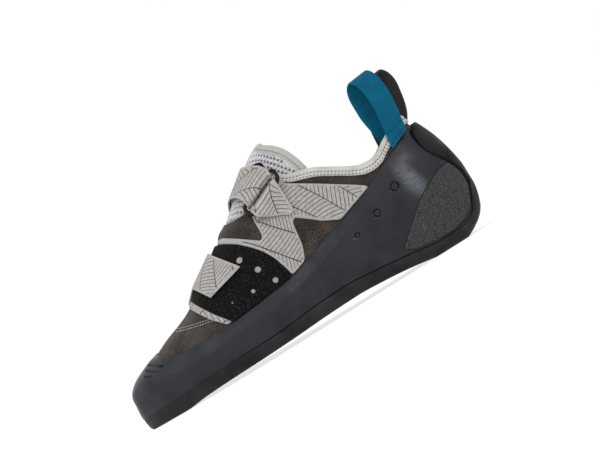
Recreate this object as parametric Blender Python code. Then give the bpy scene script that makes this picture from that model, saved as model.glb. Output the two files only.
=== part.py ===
"""Climbing shoe for the left foot, with two straps that fold back through rings.

Sizes are in millimetres, and MM turns them into Blender's metres. The toe points to -X, the
outer side of the foot faces -Y and the shoe stands on z = 0. A station is a distance from the
toe front along the shoe. Every piece of the upper is worked out from one skin, the outer face
of the upper over its last: a place on it has an angle round the shoe (0 at the toe, pi at the
heel, the outer side first) and a level (0 at the sole, 1 on the ridge along the top).
"""
import math

import bmesh
import bpy
import numpy as np

MM = 0.001
LENGTH = 268.3
MID = LENGTH / 2
SOLE_GAP = 0.45               # between the sole and what stands on it

# Thicknesses, and how far each layer lies off the skin
WALL = 2.0
RAND_LIFT = (0.5, 2.4)
OVERLAY_LIFT = (0.5, 1.7)
PATCH_LIFT = (2.75, 3.5)
STRIP_LIFT = (2.85, 4.0)
STRIP_FOOT = 0.9              # the strip's lower end above the sole
TONGUE_LIFT = (-6.9, -3.8)
BINDING_GAP = 0.7
BINDING_THICK = 1.0
BINDING_WIDTH = (4.2, 5.7)    # at its front ends, and from BINDING_FULL back
BINDING_FRONT = 162.0
BINDING_FULL = 186.0
BINDING_TURN = 0.12           # angle before the heel in which its lower edge follows the heel's slope
INSOLE_THICK = 2.7
INSOLE_LIFT = -2.4
SOLE_LIFT = 2.8               # the sole's rim stands a little proud of the rand
SOLE_HEEL_LIFT = 4.0          # and level with the heel strip at the back
SOLE_HEEL_ANGLE = 0.45
SOLE_FOOT_LIFT = 0.6
SOLE_TOE_LIFT = 1.9           # its foot is less drawn in at the toe
SOLE_BEVEL = 3.2
SOLE_END_BEVEL = (0.85, 0.7)  # the bevel grows to this share of the sole's height at toe and heel
SOLE_END_ANGLE = 0.5
SOLE_INNER_LIFT = -4.0
STRAP_THICK = 1.4
WEBBING_THICK = 1.5
WEBBING_WIDTH = 15.5

# Rings: a rounded rectangle of wire, its bars along the shoe
RING_LENGTH = 28.0
RING_HALF_HEIGHT = 4.2
RING_WIRE = 1.3
RING_CORNER = 3.0
RING_LIFT = 5.4
FOLD_RADIUS = 2.5
OUTER_RING = (146.0, -39.0, -0.2)   # station, way round from the ridge (outer side negative), turn
INNER_RING = (79.0, 33.0, 0.0)
STRAP_HALF_WIDTH = 11.5       # where a strap turns round a ring
KEEPER_START = 8.2            # way of a keeper's hidden end from the ring
KEEPER_END = (                # way from the ring, lift, and how far its front edge has come back
    (8.0, 6.9, 1.0), (11.0, 5.2, 4.5), (14.0, 3.7, 8.0),
    (18.0, 3.0, 12.5), (22.0, 2.9, 16.5), (25.0, 2.9, 19.0),
)

# Cross-sections of the skin, toe to heel: the widest points on the outer and inner side, their
# height, the ridge, the top of the sole, and how full the section is above its widest point
SECTION_COLUMNS = ("station", "outer_y", "inner_y", "wide_z", "ridge_z", "ridge_y", "sole_z", "full")
SECTIONS = (
    (2.8, 12.0, 12.0, 17.0, 22.0, 12.0, 9.3, 0.20),
    (6.7, 2.0, 20.5, 16.0, 28.9, 11.5, 9.4, 0.20),
    (11.5, -4.0, 25.0, 15.5, 32.3, 11.0, 9.6, 0.20),
    (21.0, -13.0, 31.0, 15.5, 36.4, 10.0, 9.8, 0.20),
    (40.0, -26.0, 39.0, 16.0, 45.5, 8.0, 10.6, 0.20),
    (60.0, -36.5, 43.5, 17.0, 53.0, 6.0, 11.8, 0.15),
    (80.0, -43.0, 45.0, 18.5, 66.0, 4.5, 12.6, 0.10),
    (100.0, -45.5, 43.0, 20.0, 79.5, 3.0, 12.7, 0.10),
    (120.0, -43.5, 39.0, 22.0, 96.5, 2.0, 13.8, 0.10),
    (140.0, -39.0, 34.0, 24.0, 112.0, 1.0, 15.4, 0.10),
    (160.0, -35.0, 31.0, 25.0, 128.5, 0.0, 15.8, 0.10),
    (180.0, -32.5, 29.5, 26.0, 135.0, 0.0, 14.2, 0.10),
    (205.0, -31.0, 29.5, 27.0, 133.0, 0.0, 11.3, 0.15),
    (230.0, -29.5, 29.0, 28.0, 120.0, 0.0, 8.2, 0.15),
    (245.0, -26.5, 26.5, 30.0, 99.0, 0.0, 8.8, 0.15),
    (252.3, -23.0, 23.0, 32.0, 81.5, 0.0, 11.8, 0.15),
    (257.6, -18.3, 18.3, 34.5, 70.0, 0.0, 19.0, 0.15),
    (260.6, -14.4, 14.4, 37.0, 61.0, 0.0, 26.5, 0.15),
    (263.0, -9.4, 9.4, 39.2, 50.5, 0.0, 32.2, 0.15),
    (264.0, -5.0, 5.0, 39.8, 44.6, 0.0, 34.4, 0.15),
    (264.3, 0.0, 0.0, 40.0, 41.5, 0.0, 35.0, 0.15),
)
TOE = SECTIONS[0][0]
HEEL = SECTIONS[-1][0]
WIDE_LEVEL = 0.2              # level of the widest point
TUCK = 0.02                   # share of the half width that the skin draws in at the sole

# Side-view lines, as station and height
SOLE_BOTTOM = (
    (2.8, 1.5), (4.5, 0.0), (30.0, 0.0), (45.0, 1.5), (60.0, 2.4), (90.0, 3.3), (115.0, 4.1),
    (140.0, 5.2), (165.0, 5.7), (180.0, 4.9), (198.0, 3.3), (210.0, 1.7), (218.0, 0.4),
    (221.0, 0.0), (244.5, 0.0), (248.0, 1.4), (252.0, 3.4), (258.0, 7.2), (262.0, 11.4), (264.3, 14.8),
)
OPEN_EDGE = (
    (108.0, 100.0), (113.0, 91.5), (120.0, 89.8), (134.0, 90.0), (146.0, 95.0), (157.0, 99.6),
    (165.0, 95.5), (181.0, 90.8), (192.0, 84.8), (204.0, 77.8), (210.0, 75.4), (216.0, 74.9),
    (222.0, 76.2), (230.0, 81.0), (240.0, 86.1), (250.0, 89.5), (266.0, 90.0),
)
RAND_EDGE = (
    (2.8, 60.0), (29.0, 60.0), (31.0, 41.5), (36.0, 37.2), (42.0, 34.5), (50.0, 33.2), (80.0, 33.0),
    (110.0, 35.5), (134.0, 38.5), (148.0, 43.0), (200.0, 59.2), (222.0, 69.0), (248.0, 79.3), (266.0, 82.5),
)
STRIP_EDGE = (                # station of the heel strip's front edge at each height
    (32.0, 262.2), (38.0, 262.0), (43.0, 260.5), (49.0, 257.5), (56.0, 252.8), (64.0, 249.0), (74.0, 247.8),
    (81.0, 249.0),
)

# Outlines on the skin, as station, height and side (-1 outer, 1 inner)
OUTER, INNER = -1, 1
OVERLAY_OUTLINE = (
    (135.5, 39.8), (146.5, 43.4), (150.0, 52.0), (151.5, 62.0), (152.5, 68.5), (155.5, 70.5), (160.0, 67.0),
    (170.0, 59.0), (180.0, 53.6), (193.0, 57.8), (206.5, 62.2), (200.0, 67.0), (180.0, 80.2), (162.0, 91.5),
    (157.0, 98.8), (146.0, 94.0), (133.6, 88.5), (132.4, 82.0), (132.0, 71.0), (129.3, 67.8),
    (118.0, 76.2), (108.9, 82.4), (105.9, 82.6), (104.6, 81.2), (108.9, 79.0), (115.6, 74.3),
    (121.8, 68.2), (127.0, 61.8), (131.0, 54.2), (133.5, 46.2), (135.0, 40.0),
)
PAD_OUTLINE = (
    (87.5, 34.2, OUTER), (110.0, 36.6, OUTER), (133.8, 39.6, OUTER), (132.5, 46.0, OUTER),
    (130.0, 54.0, OUTER), (126.0, 61.5, OUTER), (120.8, 67.6, OUTER), (114.6, 73.6, OUTER),
    (107.4, 78.0, OUTER), (102.9, 79.8, OUTER), (98.0, 75.5, INNER), (65.0, 52.0, INNER),
    (70.0, 58.5, OUTER), (80.0, 43.6, OUTER),
)
TRIM_OUTLINE = (
    (82.8, 34.2, OUTER), (86.8, 34.3, OUTER), (79.5, 43.2, OUTER), (69.4, 58.3, OUTER),
    (66.0, 54.8, OUTER), (75.0, 42.2, OUTER),
)
TONGUE_OUTLINE = (
    (96.0, 66.0, OUTER), (113.0, 76.0, OUTER), (134.0, 78.0, OUTER), (157.0, 86.0, OUTER),
    (180.5, 86.0, OUTER), (180.5, 94.0, OUTER), (178.0, 104.0, OUTER), (173.6, 114.4, OUTER),
    (166.2, 122.4, OUTER), (160.0, 126.4, OUTER), (160.0, 126.4, INNER), (166.2, 122.4, INNER),
    (173.6, 114.4, INNER), (178.0, 104.0, INNER), (180.5, 94.0, INNER), (180.5, 86.0, INNER),
    (157.0, 86.0, INNER), (134.0, 78.0, INNER), (113.0, 76.0, INNER), (96.0, 66.0, INNER),
)
HEEL_PATCH_OUTLINE = (
    (205.0, 15.6), (214.5, 23.5), (230.0, 36.5), (240.0, 42.0), (250.0, 46.3), (256.5, 47.5),
    (259.3, 42.5), (260.4, 37.0), (260.2, 30.5), (258.0, 24.5), (255.5, 18.8), (252.0, 14.8), (246.0, 11.6),
    (238.0, 9.8), (228.0, 9.8), (218.0, 10.9), (210.0, 12.6),
)
OUTLINE_STEP = 7.0            # longest straight run of an outline on the skin

# Pull loops, up from the outside of the collar, over and down on its inside: station, height,
# and place between the outer leg (0) and the inner leg (1). The inner side's loop leans back.
LOOP_ROUTES = {
    OUTER: (
        (240.3, 77.5, 0.0), (241.0, 85.0, 0.0), (242.5, 95.0, -0.10), (243.5, 106.0, -0.15),
        (243.0, 116.0, -0.05), (241.0, 123.0, 0.20), (238.3, 126.0, 0.55), (235.1, 123.0, 0.90),
        (233.3, 115.5, 1.12), (233.2, 105.0, 1.20), (234.6, 93.0, 1.15), (236.5, 80.0, 1.0),
    ),
    INNER: (
        (240.8, 77.5, 0.0), (246.0, 84.0, 0.0), (250.6, 92.5, -0.08), (253.2, 103.5, -0.15),
        (254.2, 112.0, -0.10), (252.5, 119.5, 0.15), (248.5, 123.2, 0.50), (244.5, 121.5, 0.88),
        (241.8, 114.0, 1.12), (240.3, 103.5, 1.20), (235.9, 92.0, 1.18), (234.9, 80.0, 1.05),
    ),
}
LOOP_OUTER_LIFT = 3.8
LOOP_INNER_LIFT = -10.0
LOOP_YAW = 0.34               # the webbing's edge turns with the heel's curve
LOOP_RISE = 0.12

COLUMNS_PER_SIDE = 27
LEAVING_SHARES = (0.0, 0.07, 0.3, 0.65)   # extra columns beside a place where an edge leaves the ridge
LEVEL_STEP = 0.1              # rows on the skin, the same for every layer


def monotone_slopes(knots, values):
    """Slopes at the knots that let a curve pass through them without overshoot."""
    step = np.diff(knots)
    secant = np.diff(values) / step
    slopes = np.zeros(len(knots))
    slopes[0] = secant[0]
    slopes[-1] = secant[-1]
    for i in range(1, len(knots) - 1):
        if secant[i - 1] * secant[i] > 0:
            before = step[i - 1] + 2 * step[i]
            after = 2 * step[i - 1] + step[i]
            slopes[i] = (before + after) / (before / secant[i - 1] + after / secant[i])
    return slopes


def through(knots, values, x):
    """A smooth curve through the knots, read at x."""
    knots = np.asarray(knots, float)
    values = np.asarray(values, float)
    slopes = monotone_slopes(knots, values)
    x = np.clip(x, knots[0], knots[-1])
    i = np.clip(np.searchsorted(knots, x) - 1, 0, len(knots) - 2)
    step = knots[i + 1] - knots[i]
    t = (x - knots[i]) / step
    ends = (1 + 2 * t) * (1 - t) ** 2 * values[i] + t * t * (3 - 2 * t) * values[i + 1]
    return ends + step * (t * (1 - t) ** 2 * slopes[i] + t * t * (t - 1) * slopes[i + 1])


def side_line(line, station):
    """Height of a side-view line at a station."""
    return through([row[0] for row in line], [row[1] for row in line], station)


def angle_of(station):
    """Angle from the toe (0 to pi) of a station on the skin."""
    share = np.clip((np.asarray(station, float) - TOE) / (HEEL - TOE), 0, 1)
    return np.arccos(1 - 2 * share)


def station_of(angle):
    """Station of an angle from the toe."""
    return TOE + (HEEL - TOE) * (1 - np.cos(angle)) / 2


SECTION_ANGLES = angle_of([row[0] for row in SECTIONS])


def section(angle, column):
    """One column of the section table at an angle from the toe."""
    index = SECTION_COLUMNS.index(column)
    return through(SECTION_ANGLES, [row[index] for row in SECTIONS], angle)


def from_toe(around):
    """Angle from the toe, 0 to pi on either side, of an angle all the way round."""
    around = np.mod(around, 2 * np.pi)
    return np.minimum(around, 2 * np.pi - around)


def bare_skin(around, level):
    """Points of the skin itself."""
    around, level = np.broadcast_arrays(np.asarray(around, float), np.asarray(level, float))
    angle = from_toe(around)
    outer = np.mod(around, 2 * np.pi) <= np.pi
    ridge_y = section(angle, "ridge_y")
    wide_z = section(angle, "wide_z")
    half = np.where(outer, section(angle, "outer_y"), section(angle, "inner_y")) - ridge_y
    rise = np.clip((level - WIDE_LEVEL) / (1 - WIDE_LEVEL), 0, 1) * np.pi / 2
    drop = np.clip(1 - level / WIDE_LEVEL, 0, 1)
    y = ridge_y + half * (np.cos(rise) * (1 + section(angle, "full") * np.sin(rise) ** 2) - TUCK * drop ** 2)
    z = wide_z + (section(angle, "ridge_z") - wide_z) * np.sin(rise)
    z = z - (wide_z - section(angle, "sole_z") - SOLE_GAP) * drop
    return np.stack([station_of(angle) - MID, y, z], axis=-1)


def skin(around, level, lift):
    """Points that lie a distance (lift) off the skin."""
    around, level = np.broadcast_arrays(np.asarray(around, float), np.asarray(level, float))
    step = 1e-4
    at_end = np.isclose(np.sin(around), 0, atol=1e-6)
    facing = np.where(at_end, np.minimum(level, 0.98), level)
    along = bare_skin(around + step, facing) - bare_skin(around - step, facing)
    up = bare_skin(around, np.minimum(facing + step, 1)) - bare_skin(around, np.maximum(facing - step, 0))
    normal = np.cross(along, up)
    normal = normal / np.linalg.norm(normal, axis=-1, keepdims=True)
    return bare_skin(around, level) + np.asarray(lift)[..., None] * normal


def foot(around, lift, height):
    """Points level with the skin's lower edge, moved out by lift, at the given heights."""
    around = np.asarray(around, float)
    step = 1e-4
    along = bare_skin(around + step, 0.0) - bare_skin(around - step, 0.0)
    outward = np.stack([along[:, 1], -along[:, 0]], axis=-1)
    outward = outward / np.linalg.norm(outward, axis=-1, keepdims=True)
    points = bare_skin(around, 0.0)
    points[:, :2] += np.asarray(lift).reshape(-1, 1) * outward
    points[:, 2] = height
    return points


def level_at(around, height):
    """Level of the skin at a height, at most the ridge's."""
    angle = from_toe(around)
    wide_z = section(angle, "wide_z")
    sole_z = section(angle, "sole_z") + SOLE_GAP
    share = np.clip((height - wide_z) / (section(angle, "ridge_z") - wide_z), 0, 1)
    upper = WIDE_LEVEL + (1 - WIDE_LEVEL) * np.arcsin(share) * 2 / np.pi
    lower = WIDE_LEVEL * np.clip((height - sole_z) / (wide_z - sole_z), 0, 1)
    return np.where(height >= wide_z, upper, lower)


def level_round(angle, girth):
    """Level at a distance round the section from its ridge (outer side negative)."""
    around = angle if girth < 0 else 2 * np.pi - angle
    levels = np.linspace(1, 0.05, 80)
    points = bare_skin(np.full(80, around), levels)
    run = np.concatenate([[0], np.cumsum(np.linalg.norm(np.diff(points, axis=0), axis=1))])
    return np.interp(abs(girth), run, levels)


def ridge_meeting(line, low, high):
    """Angle between two stations at which a side-view line meets the ridge."""
    first, last = angle_of(low), angle_of(high)
    over = side_line(line, low) > section(first, "ridge_z")
    for _ in range(50):
        middle = (first + last) / 2
        if (side_line(line, station_of(middle)) > section(middle, "ridge_z")) == over:
            first = middle
        else:
            last = middle
    return first


THROAT_ANGLE = ridge_meeting(OPEN_EDGE, 108.0, 125.0)
COLLAR_BACK_ANGLE = ridge_meeting(OPEN_EDGE, 235.0, 262.0)
RAND_TOE_ANGLE = ridge_meeting(RAND_EDGE, 20.0, 42.0)
RAND_HEEL_ANGLE = ridge_meeting(RAND_EDGE, 235.0, 262.0)


def side_angles():
    """Angles of the columns on one side, closer where an edge leaves the ridge."""
    angles = np.linspace(0, np.pi, COLUMNS_PER_SIDE + 1)
    spacing = np.pi / COLUMNS_PER_SIDE
    leaving = ((RAND_TOE_ANGLE, 1), (THROAT_ANGLE, 1), (RAND_HEEL_ANGLE, -1), (COLLAR_BACK_ANGLE, -1))
    close = [meeting + way * spacing * share for meeting, way in leaving for share in LEAVING_SHARES]
    apart = [angle for angle in angles if min(abs(angle - other) for other in close) > spacing * 0.2]
    return np.array(sorted({0.0, np.pi, *apart, *close}))


SIDE_ANGLES = side_angles()
COLUMNS = np.concatenate([SIDE_ANGLES, 2 * np.pi - SIDE_ANGLES[-2:0:-1]])


def edge_levels(line):
    """Level of a side-view line at each column, 1 where it is over the ridge."""
    angles = from_toe(COLUMNS)
    heights = side_line(line, station_of(angles))
    levels = level_at(COLUMNS, heights)
    near_ridge = np.isclose(heights, section(angles, "ridge_z"), atol=1e-3)
    return np.where(near_ridge | (levels > 0.9999), 1.0, levels)


def clear_scene():
    for obj in list(bpy.data.objects):
        bpy.data.objects.remove(obj, do_unlink=True)


def collection(name):
    group = bpy.data.collections.new(name)
    bpy.context.scene.collection.children.link(group)
    return group


def material(name, colour, roughness, metallic=0.0):
    finish = bpy.data.materials.new(name)
    finish.use_nodes = True
    shader = finish.node_tree.nodes["Principled BSDF"]
    shader.inputs["Base Color"].default_value = (*colour, 1.0)
    shader.inputs["Roughness"].default_value = roughness
    shader.inputs["Metallic"].default_value = metallic
    return finish


def solid(name, points, faces, finish):
    """One closed object from points in millimetres."""
    form = bmesh.new()
    corners = [form.verts.new([value * MM for value in point]) for point in points]
    for face in faces:
        form.faces.new([corners[index] for index in face])
    bmesh.ops.remove_doubles(form, verts=form.verts, dist=1e-6)
    bmesh.ops.dissolve_degenerate(form, edges=form.edges, dist=1e-6)
    bmesh.ops.triangulate(form, faces=form.faces, quad_method="FIXED")
    bmesh.ops.recalc_face_normals(form, faces=form.faces)
    mesh = bpy.data.meshes.new(name)
    form.to_mesh(mesh)
    form.free()
    mesh.shade_smooth()
    mesh.set_sharp_from_angle(angle=math.radians(40))
    mesh.materials.append(finish)
    obj = bpy.data.objects.new(name, mesh)
    SHOE.objects.link(obj)
    return obj


def ring_shell(name, line, lifts, finish):
    """A wall round the whole shoe, from the sole up to a side-view line, closed over the ridge."""
    edge = edge_levels(line)
    around = COLUMNS[:, None]
    level = np.minimum(edge[:, None], np.arange(0, 1 + LEVEL_STEP / 2, LEVEL_STEP)[None, :])
    count, height = level.shape
    foot_z = section(from_toe(COLUMNS), "sole_z") + SOLE_GAP
    sheets = []
    for lift in lifts:
        sheet = skin(around, level, lift)
        sheet[:, 0] = foot(COLUMNS, lift, foot_z)
        sheets.append(sheet.reshape(-1, 3))
    faces = []
    other = count * height
    for i in range(count):
        j = (i + 1) % count
        a, b = i * height, j * height
        for k in range(height - 1):
            faces.append((a + k, b + k, b + k + 1, a + k + 1))
            faces.append((other + a + k + 1, other + b + k + 1, other + b + k, other + a + k))
        faces.append((a, other + a, other + b, b))
        if edge[i] < 1 or edge[j] < 1:
            top_a, top_b = a + height - 1, b + height - 1
            faces.append((top_a, top_b, other + top_b, other + top_a))
    return solid(name, np.concatenate(sheets), faces, finish)


def plate(name, rings, finish):
    """A plate inside rings of points round the shoe, listed from its lower face to its upper."""
    count = len(COLUMNS)
    last = (len(rings) - 1) * count
    faces = []
    for level in range(len(rings) - 1):
        for i in range(count):
            j = (i + 1) % count
            low, high = level * count, (level + 1) * count
            faces.append((low + i, low + j, high + j, high + i))
    for i in range(len(SIDE_ANGLES) - 1):
        outer = [i, i + 1]
        inner = [(count - i - 1) % count, (count - i) % count]
        strip = list(dict.fromkeys(outer + inner))
        faces.append([index for index in reversed(strip)])
        faces.append([last + index for index in strip])
    return solid(name, np.concatenate(rings), faces, finish)


def flat_place(station, height, side):
    """A place on the unrolled skin: angle from the toe, and way from the ridge."""
    angle = float(angle_of(station))
    around = angle if side == OUTER else 2 * np.pi - angle
    return angle, side * (1 - float(level_at(around, height)))


def unrolled(outline):
    """The outline on the unrolled skin, with long runs split so that they follow it."""
    places = []
    for start, end in zip(outline, outline[1:] + outline[:1]):
        run = math.dist(start[:2], end[:2])
        parts = max(1, math.ceil(run / OUTLINE_STEP))
        for part in range(parts):
            share = part / parts
            if start[2] == end[2]:
                mixed = [a + (b - a) * share for a, b in zip(start[:2], end[:2])]
                places.append(flat_place(*mixed, start[2]))
            else:
                first, last = flat_place(*start), flat_place(*end)
                places.append(tuple(a + (b - a) * share for a, b in zip(first, last)))
    kept = [place for place, before in zip(places, places[-1:] + places) if math.dist(place, before) > 1e-5]
    return kept


def patch(name, outline, lifts, finish):
    """A layer on the skin inside an outline, between two lifts."""
    flat = bmesh.new()
    places = unrolled(outline)
    flat.faces.new([flat.verts.new((*place, 0.0)) for place in places])
    cuts = [((angle, 0, 0), (1, 0, 0)) for angle in SIDE_ANGLES]
    cuts += [((0, share, 0), (0, 1, 0)) for share in np.arange(-1, 1.01, LEVEL_STEP)]
    for place, direction in cuts:
        everything = flat.verts[:] + flat.edges[:] + flat.faces[:]
        bmesh.ops.bisect_plane(flat, geom=everything, dist=1e-5, plane_co=place, plane_no=direction)
    bmesh.ops.triangulate(flat, faces=flat.faces)
    flat.verts.index_update()
    angle = np.array([corner.co.x for corner in flat.verts])
    way = np.array([corner.co.y for corner in flat.verts])
    around = np.where(way <= 0, angle, 2 * np.pi - angle)
    points = [skin(around, 1 - np.abs(way), lift) for lift in lifts]
    count = len(angle)
    faces = []
    for face in flat.faces:
        indices = [corner.index for corner in face.verts]
        faces.append(indices)
        faces.append([count + index for index in reversed(indices)])
    for edge in flat.edges:
        if edge.is_boundary:
            a, b = (corner.index for corner in edge.verts)
            faces.append((a, b, count + b, count + a))
    flat.free()
    return solid(name, np.concatenate(points), faces, finish)


def on_side(outline, side):
    return tuple((station, height, side) for station, height in outline)


def ribbon_solid(name, faces_of_ribbon, finish):
    """A closed strip between two grids of points (its two faces): rows along it, columns across."""
    rows, width = faces_of_ribbon[0].shape[:2]
    other = rows * width
    faces = []
    for i in range(rows - 1):
        for k in range(width - 1):
            a, b = i * width + k, (i + 1) * width + k
            faces.append((a, a + 1, b + 1, b))
            faces.append((other + b, other + b + 1, other + a + 1, other + a))
        for k in (0, width - 1):
            a, b = i * width + k, (i + 1) * width + k
            faces.append((a, b, other + b, other + a))
    for i in (0, rows - 1):
        for k in range(width - 1):
            a = i * width + k
            faces.append((a, a + 1, other + a + 1, other + a))
    points = np.concatenate([grid.reshape(-1, 3) for grid in faces_of_ribbon])
    return solid(name, points, faces, finish)


def strap(name, route, finish):
    """A strap over the skin. Route rows: way round from the ridge, lift, front and rear station, slant."""
    route = np.asarray(route, float)
    travel = np.gradient(route[:, :2], axis=0)
    travel = travel / np.linalg.norm(travel, axis=1, keepdims=True)
    across = np.stack([-travel[:, 1], travel[:, 0]], axis=1) * STRAP_THICK / 2
    grids = []
    for side in (1, -1):
        grid = np.zeros((len(route), 4, 3))
        for i, (girth, lift, front, rear, slant) in enumerate(route):
            for k, share in enumerate(np.linspace(0, 1, 4)):
                angle = float(angle_of(front + (rear - front) * share))
                way = girth + side * across[i, 0] + slant * (share - 0.5)
                around = angle if way < 0 else 2 * np.pi - angle
                grid[i, k] = skin(around, level_round(angle, way), lift + side * across[i, 1])
        grids.append(grid)
    return ribbon_solid(name, grids, finish)


def fold(bar, towards, edges):
    """Rows of a strap that turns round a ring's bar, coming in below it from the side 'towards'."""
    rows = []
    for turn in np.linspace(-90, 90, 7):
        way = bar - towards * FOLD_RADIUS * math.cos(math.radians(turn))
        rows.append((way, RING_LIFT + FOLD_RADIUS * math.sin(math.radians(turn)), *edges))
    return rows


def strap_edges(ring_place):
    """Front and rear station and slant of a strap where it turns round a ring."""
    station, _, turn = ring_place
    return station - STRAP_HALF_WIDTH, station + STRAP_HALF_WIDTH, turn * 2 * STRAP_HALF_WIDTH


def keeper_route(ring_place, side):
    """A short strap that holds a ring: its end below, round the ring's bar, and down on the overlay."""
    girth = ring_place[1]
    edges = strap_edges(ring_place)
    route = [(girth + side * KEEPER_START, RING_LIFT - FOLD_RADIUS, *edges)]
    route += fold(girth + side * RING_HALF_HEIGHT, side, edges)
    front, rear, slant = edges
    for way, lift, back in KEEPER_END:
        kept = 1 - back / (rear - front)
        middle = girth + side * way + slant * (1 - kept) / 2
        route.append((middle, lift, front + back, rear, slant * kept))
    return route


def ring(name, place, finish):
    """A rectangular wire ring that lies over the skin with its long bars along the shoe."""
    station, girth, turned = place

    def at(shift, way):
        angle = float(angle_of(station + shift))
        way = way + turned * shift
        around = angle if way < 0 else 2 * np.pi - angle
        return skin(around, level_round(angle, way), RING_LIFT)

    curve = bpy.data.curves.new(name, "CURVE")
    curve.dimensions = "3D"
    curve.bevel_depth = RING_WIRE * MM
    curve.bevel_resolution = 1
    reach = RING_LENGTH / 2 - RING_CORNER
    rise = RING_HALF_HEIGHT - RING_CORNER
    corners = []
    for quarter, (long, high) in enumerate(((1, 1), (-1, 1), (-1, -1), (1, -1))):
        for turn in (0, 30, 60, 90):
            bend = math.radians(quarter * 90 + turn)
            shift = long * reach + RING_CORNER * math.cos(bend)
            corners.append(at(shift, girth + high * rise + RING_CORNER * math.sin(bend)))
        if quarter in (0, 2):
            bar = girth + high * RING_HALF_HEIGHT
            corners += [at(share * long * reach, bar) for share in (0.5, 0.0, -0.5)]
    spline = curve.splines.new("POLY")
    spline.points.add(len(corners) - 1)
    for point, corner in zip(spline.points, corners):
        point.co = (*(corner * MM), 1.0)
    spline.use_cyclic_u = True
    curve.materials.append(finish)
    obj = bpy.data.objects.new(name, curve)
    SHOE.objects.link(obj)
    return obj


def make_upper(finish):
    ring_shell("upper", OPEN_EDGE, (-WALL, 0.0), finish)


def make_rand(finish):
    ring_shell("rand", RAND_EDGE, RAND_LIFT, finish)


def near_end(way):
    """1 at an end of the shoe, and 0 from the angle on at which the sole's bevel is even."""
    near = np.clip(1 - way / SOLE_END_ANGLE, 0, 1)
    return near * near * (3 - 2 * near)


def make_outsole(finish):
    angles = from_toe(COLUMNS)
    foot_lift = SOLE_FOOT_LIFT + (SOLE_TOE_LIFT - SOLE_FOOT_LIFT) * near_end(angles)
    back = np.clip((angles - (np.pi - 2 * SOLE_HEEL_ANGLE)) / SOLE_HEEL_ANGLE, 0, 1)
    rim = SOLE_LIFT + (SOLE_HEEL_LIFT - SOLE_LIFT) * back * back * (3 - 2 * back)
    bottom_z = side_line(SOLE_BOTTOM, station_of(angles))
    top_z = section(angles, "sole_z")
    bevel = np.full(len(COLUMNS), SOLE_BEVEL)
    for share, way in zip(SOLE_END_BEVEL, (angles, np.pi - angles)):
        bevel += (share * (top_z - bottom_z) - SOLE_BEVEL) * near_end(way)
    rings = (
        foot(COLUMNS, foot_lift, bottom_z),
        foot(COLUMNS, rim, bottom_z + bevel),
        foot(COLUMNS, rim, top_z),
        foot(COLUMNS, np.zeros(len(COLUMNS)), top_z),
        foot(COLUMNS, np.full(len(COLUMNS), SOLE_INNER_LIFT), top_z),
    )
    plate("outsole", rings, finish)


def make_insole(finish):
    low_z = section(from_toe(COLUMNS), "sole_z") + SOLE_GAP
    top_z = low_z + INSOLE_THICK
    inside = np.full(len(COLUMNS), SOLE_INNER_LIFT)
    edge = np.full(len(COLUMNS), INSOLE_LIFT)
    rings = (foot(COLUMNS, inside, low_z), foot(COLUMNS, edge, low_z))
    rings += (foot(COLUMNS, edge, top_z), foot(COLUMNS, inside, top_z))
    plate("insole", rings, finish)


def make_heel_strip(finish):
    """The strip up the back of the heel, in rows of one height from edge to edge."""
    shares = np.linspace(-1, 1, 9)
    heights = np.linspace(section(np.pi, "sole_z") + STRIP_FOOT, STRIP_EDGE[-1][0], 13)
    ridge_angles = np.linspace(angle_of(240.0), np.pi, 200)
    ridge_heights = section(ridge_angles, "ridge_z")
    grids = []
    for lift in STRIP_LIFT:
        grid = np.zeros((len(heights), len(shares), 3))
        for i, height in enumerate(heights):
            top = np.interp(-height, -ridge_heights, ridge_angles)
            edge = float(angle_of(side_line(STRIP_EDGE, height)))
            angles = top - (top - edge) * shares ** 2
            around = np.where(shares <= 0, angles, 2 * np.pi - angles)
            row_z = height if i else section(angles, "sole_z") + STRIP_FOOT
            grid[i] = skin(around, level_at(around, row_z), lift)
        grids.append(grid)
    ribbon_solid("heel_strip", grids, finish)


def collar_row(share):
    """Angles and levels along the collar, outer side to inner, a share of the binding's width below it."""
    grow = [np.clip((row[0] - BINDING_FRONT) / (BINDING_FULL - BINDING_FRONT), 0, 1) for row in OPEN_EDGE]
    widths = [BINDING_WIDTH[0] + (BINDING_WIDTH[1] - BINDING_WIDTH[0]) * part for part in grow]
    lowered = tuple((row[0], row[1] - width * share) for row, width in zip(OPEN_EDGE, widths))
    back = ridge_meeting(lowered, 235.0, 264.0)
    front = float(angle_of(BINDING_FRONT))
    angles = np.array([angle for angle in SIDE_ANGLES if front < angle <= COLLAR_BACK_ANGLE])
    turn = np.clip(1 - (COLLAR_BACK_ANGLE - angles) / BINDING_TURN, 0, 1)
    angles = angles + (back - COLLAR_BACK_ANGLE) * turn
    levels = level_at(angles, side_line(lowered, station_of(angles)))
    levels[-1] = 1.0
    around = np.concatenate([angles, 2 * np.pi - angles[-2::-1]])
    return around, np.concatenate([levels, levels[-2::-1]])


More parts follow.
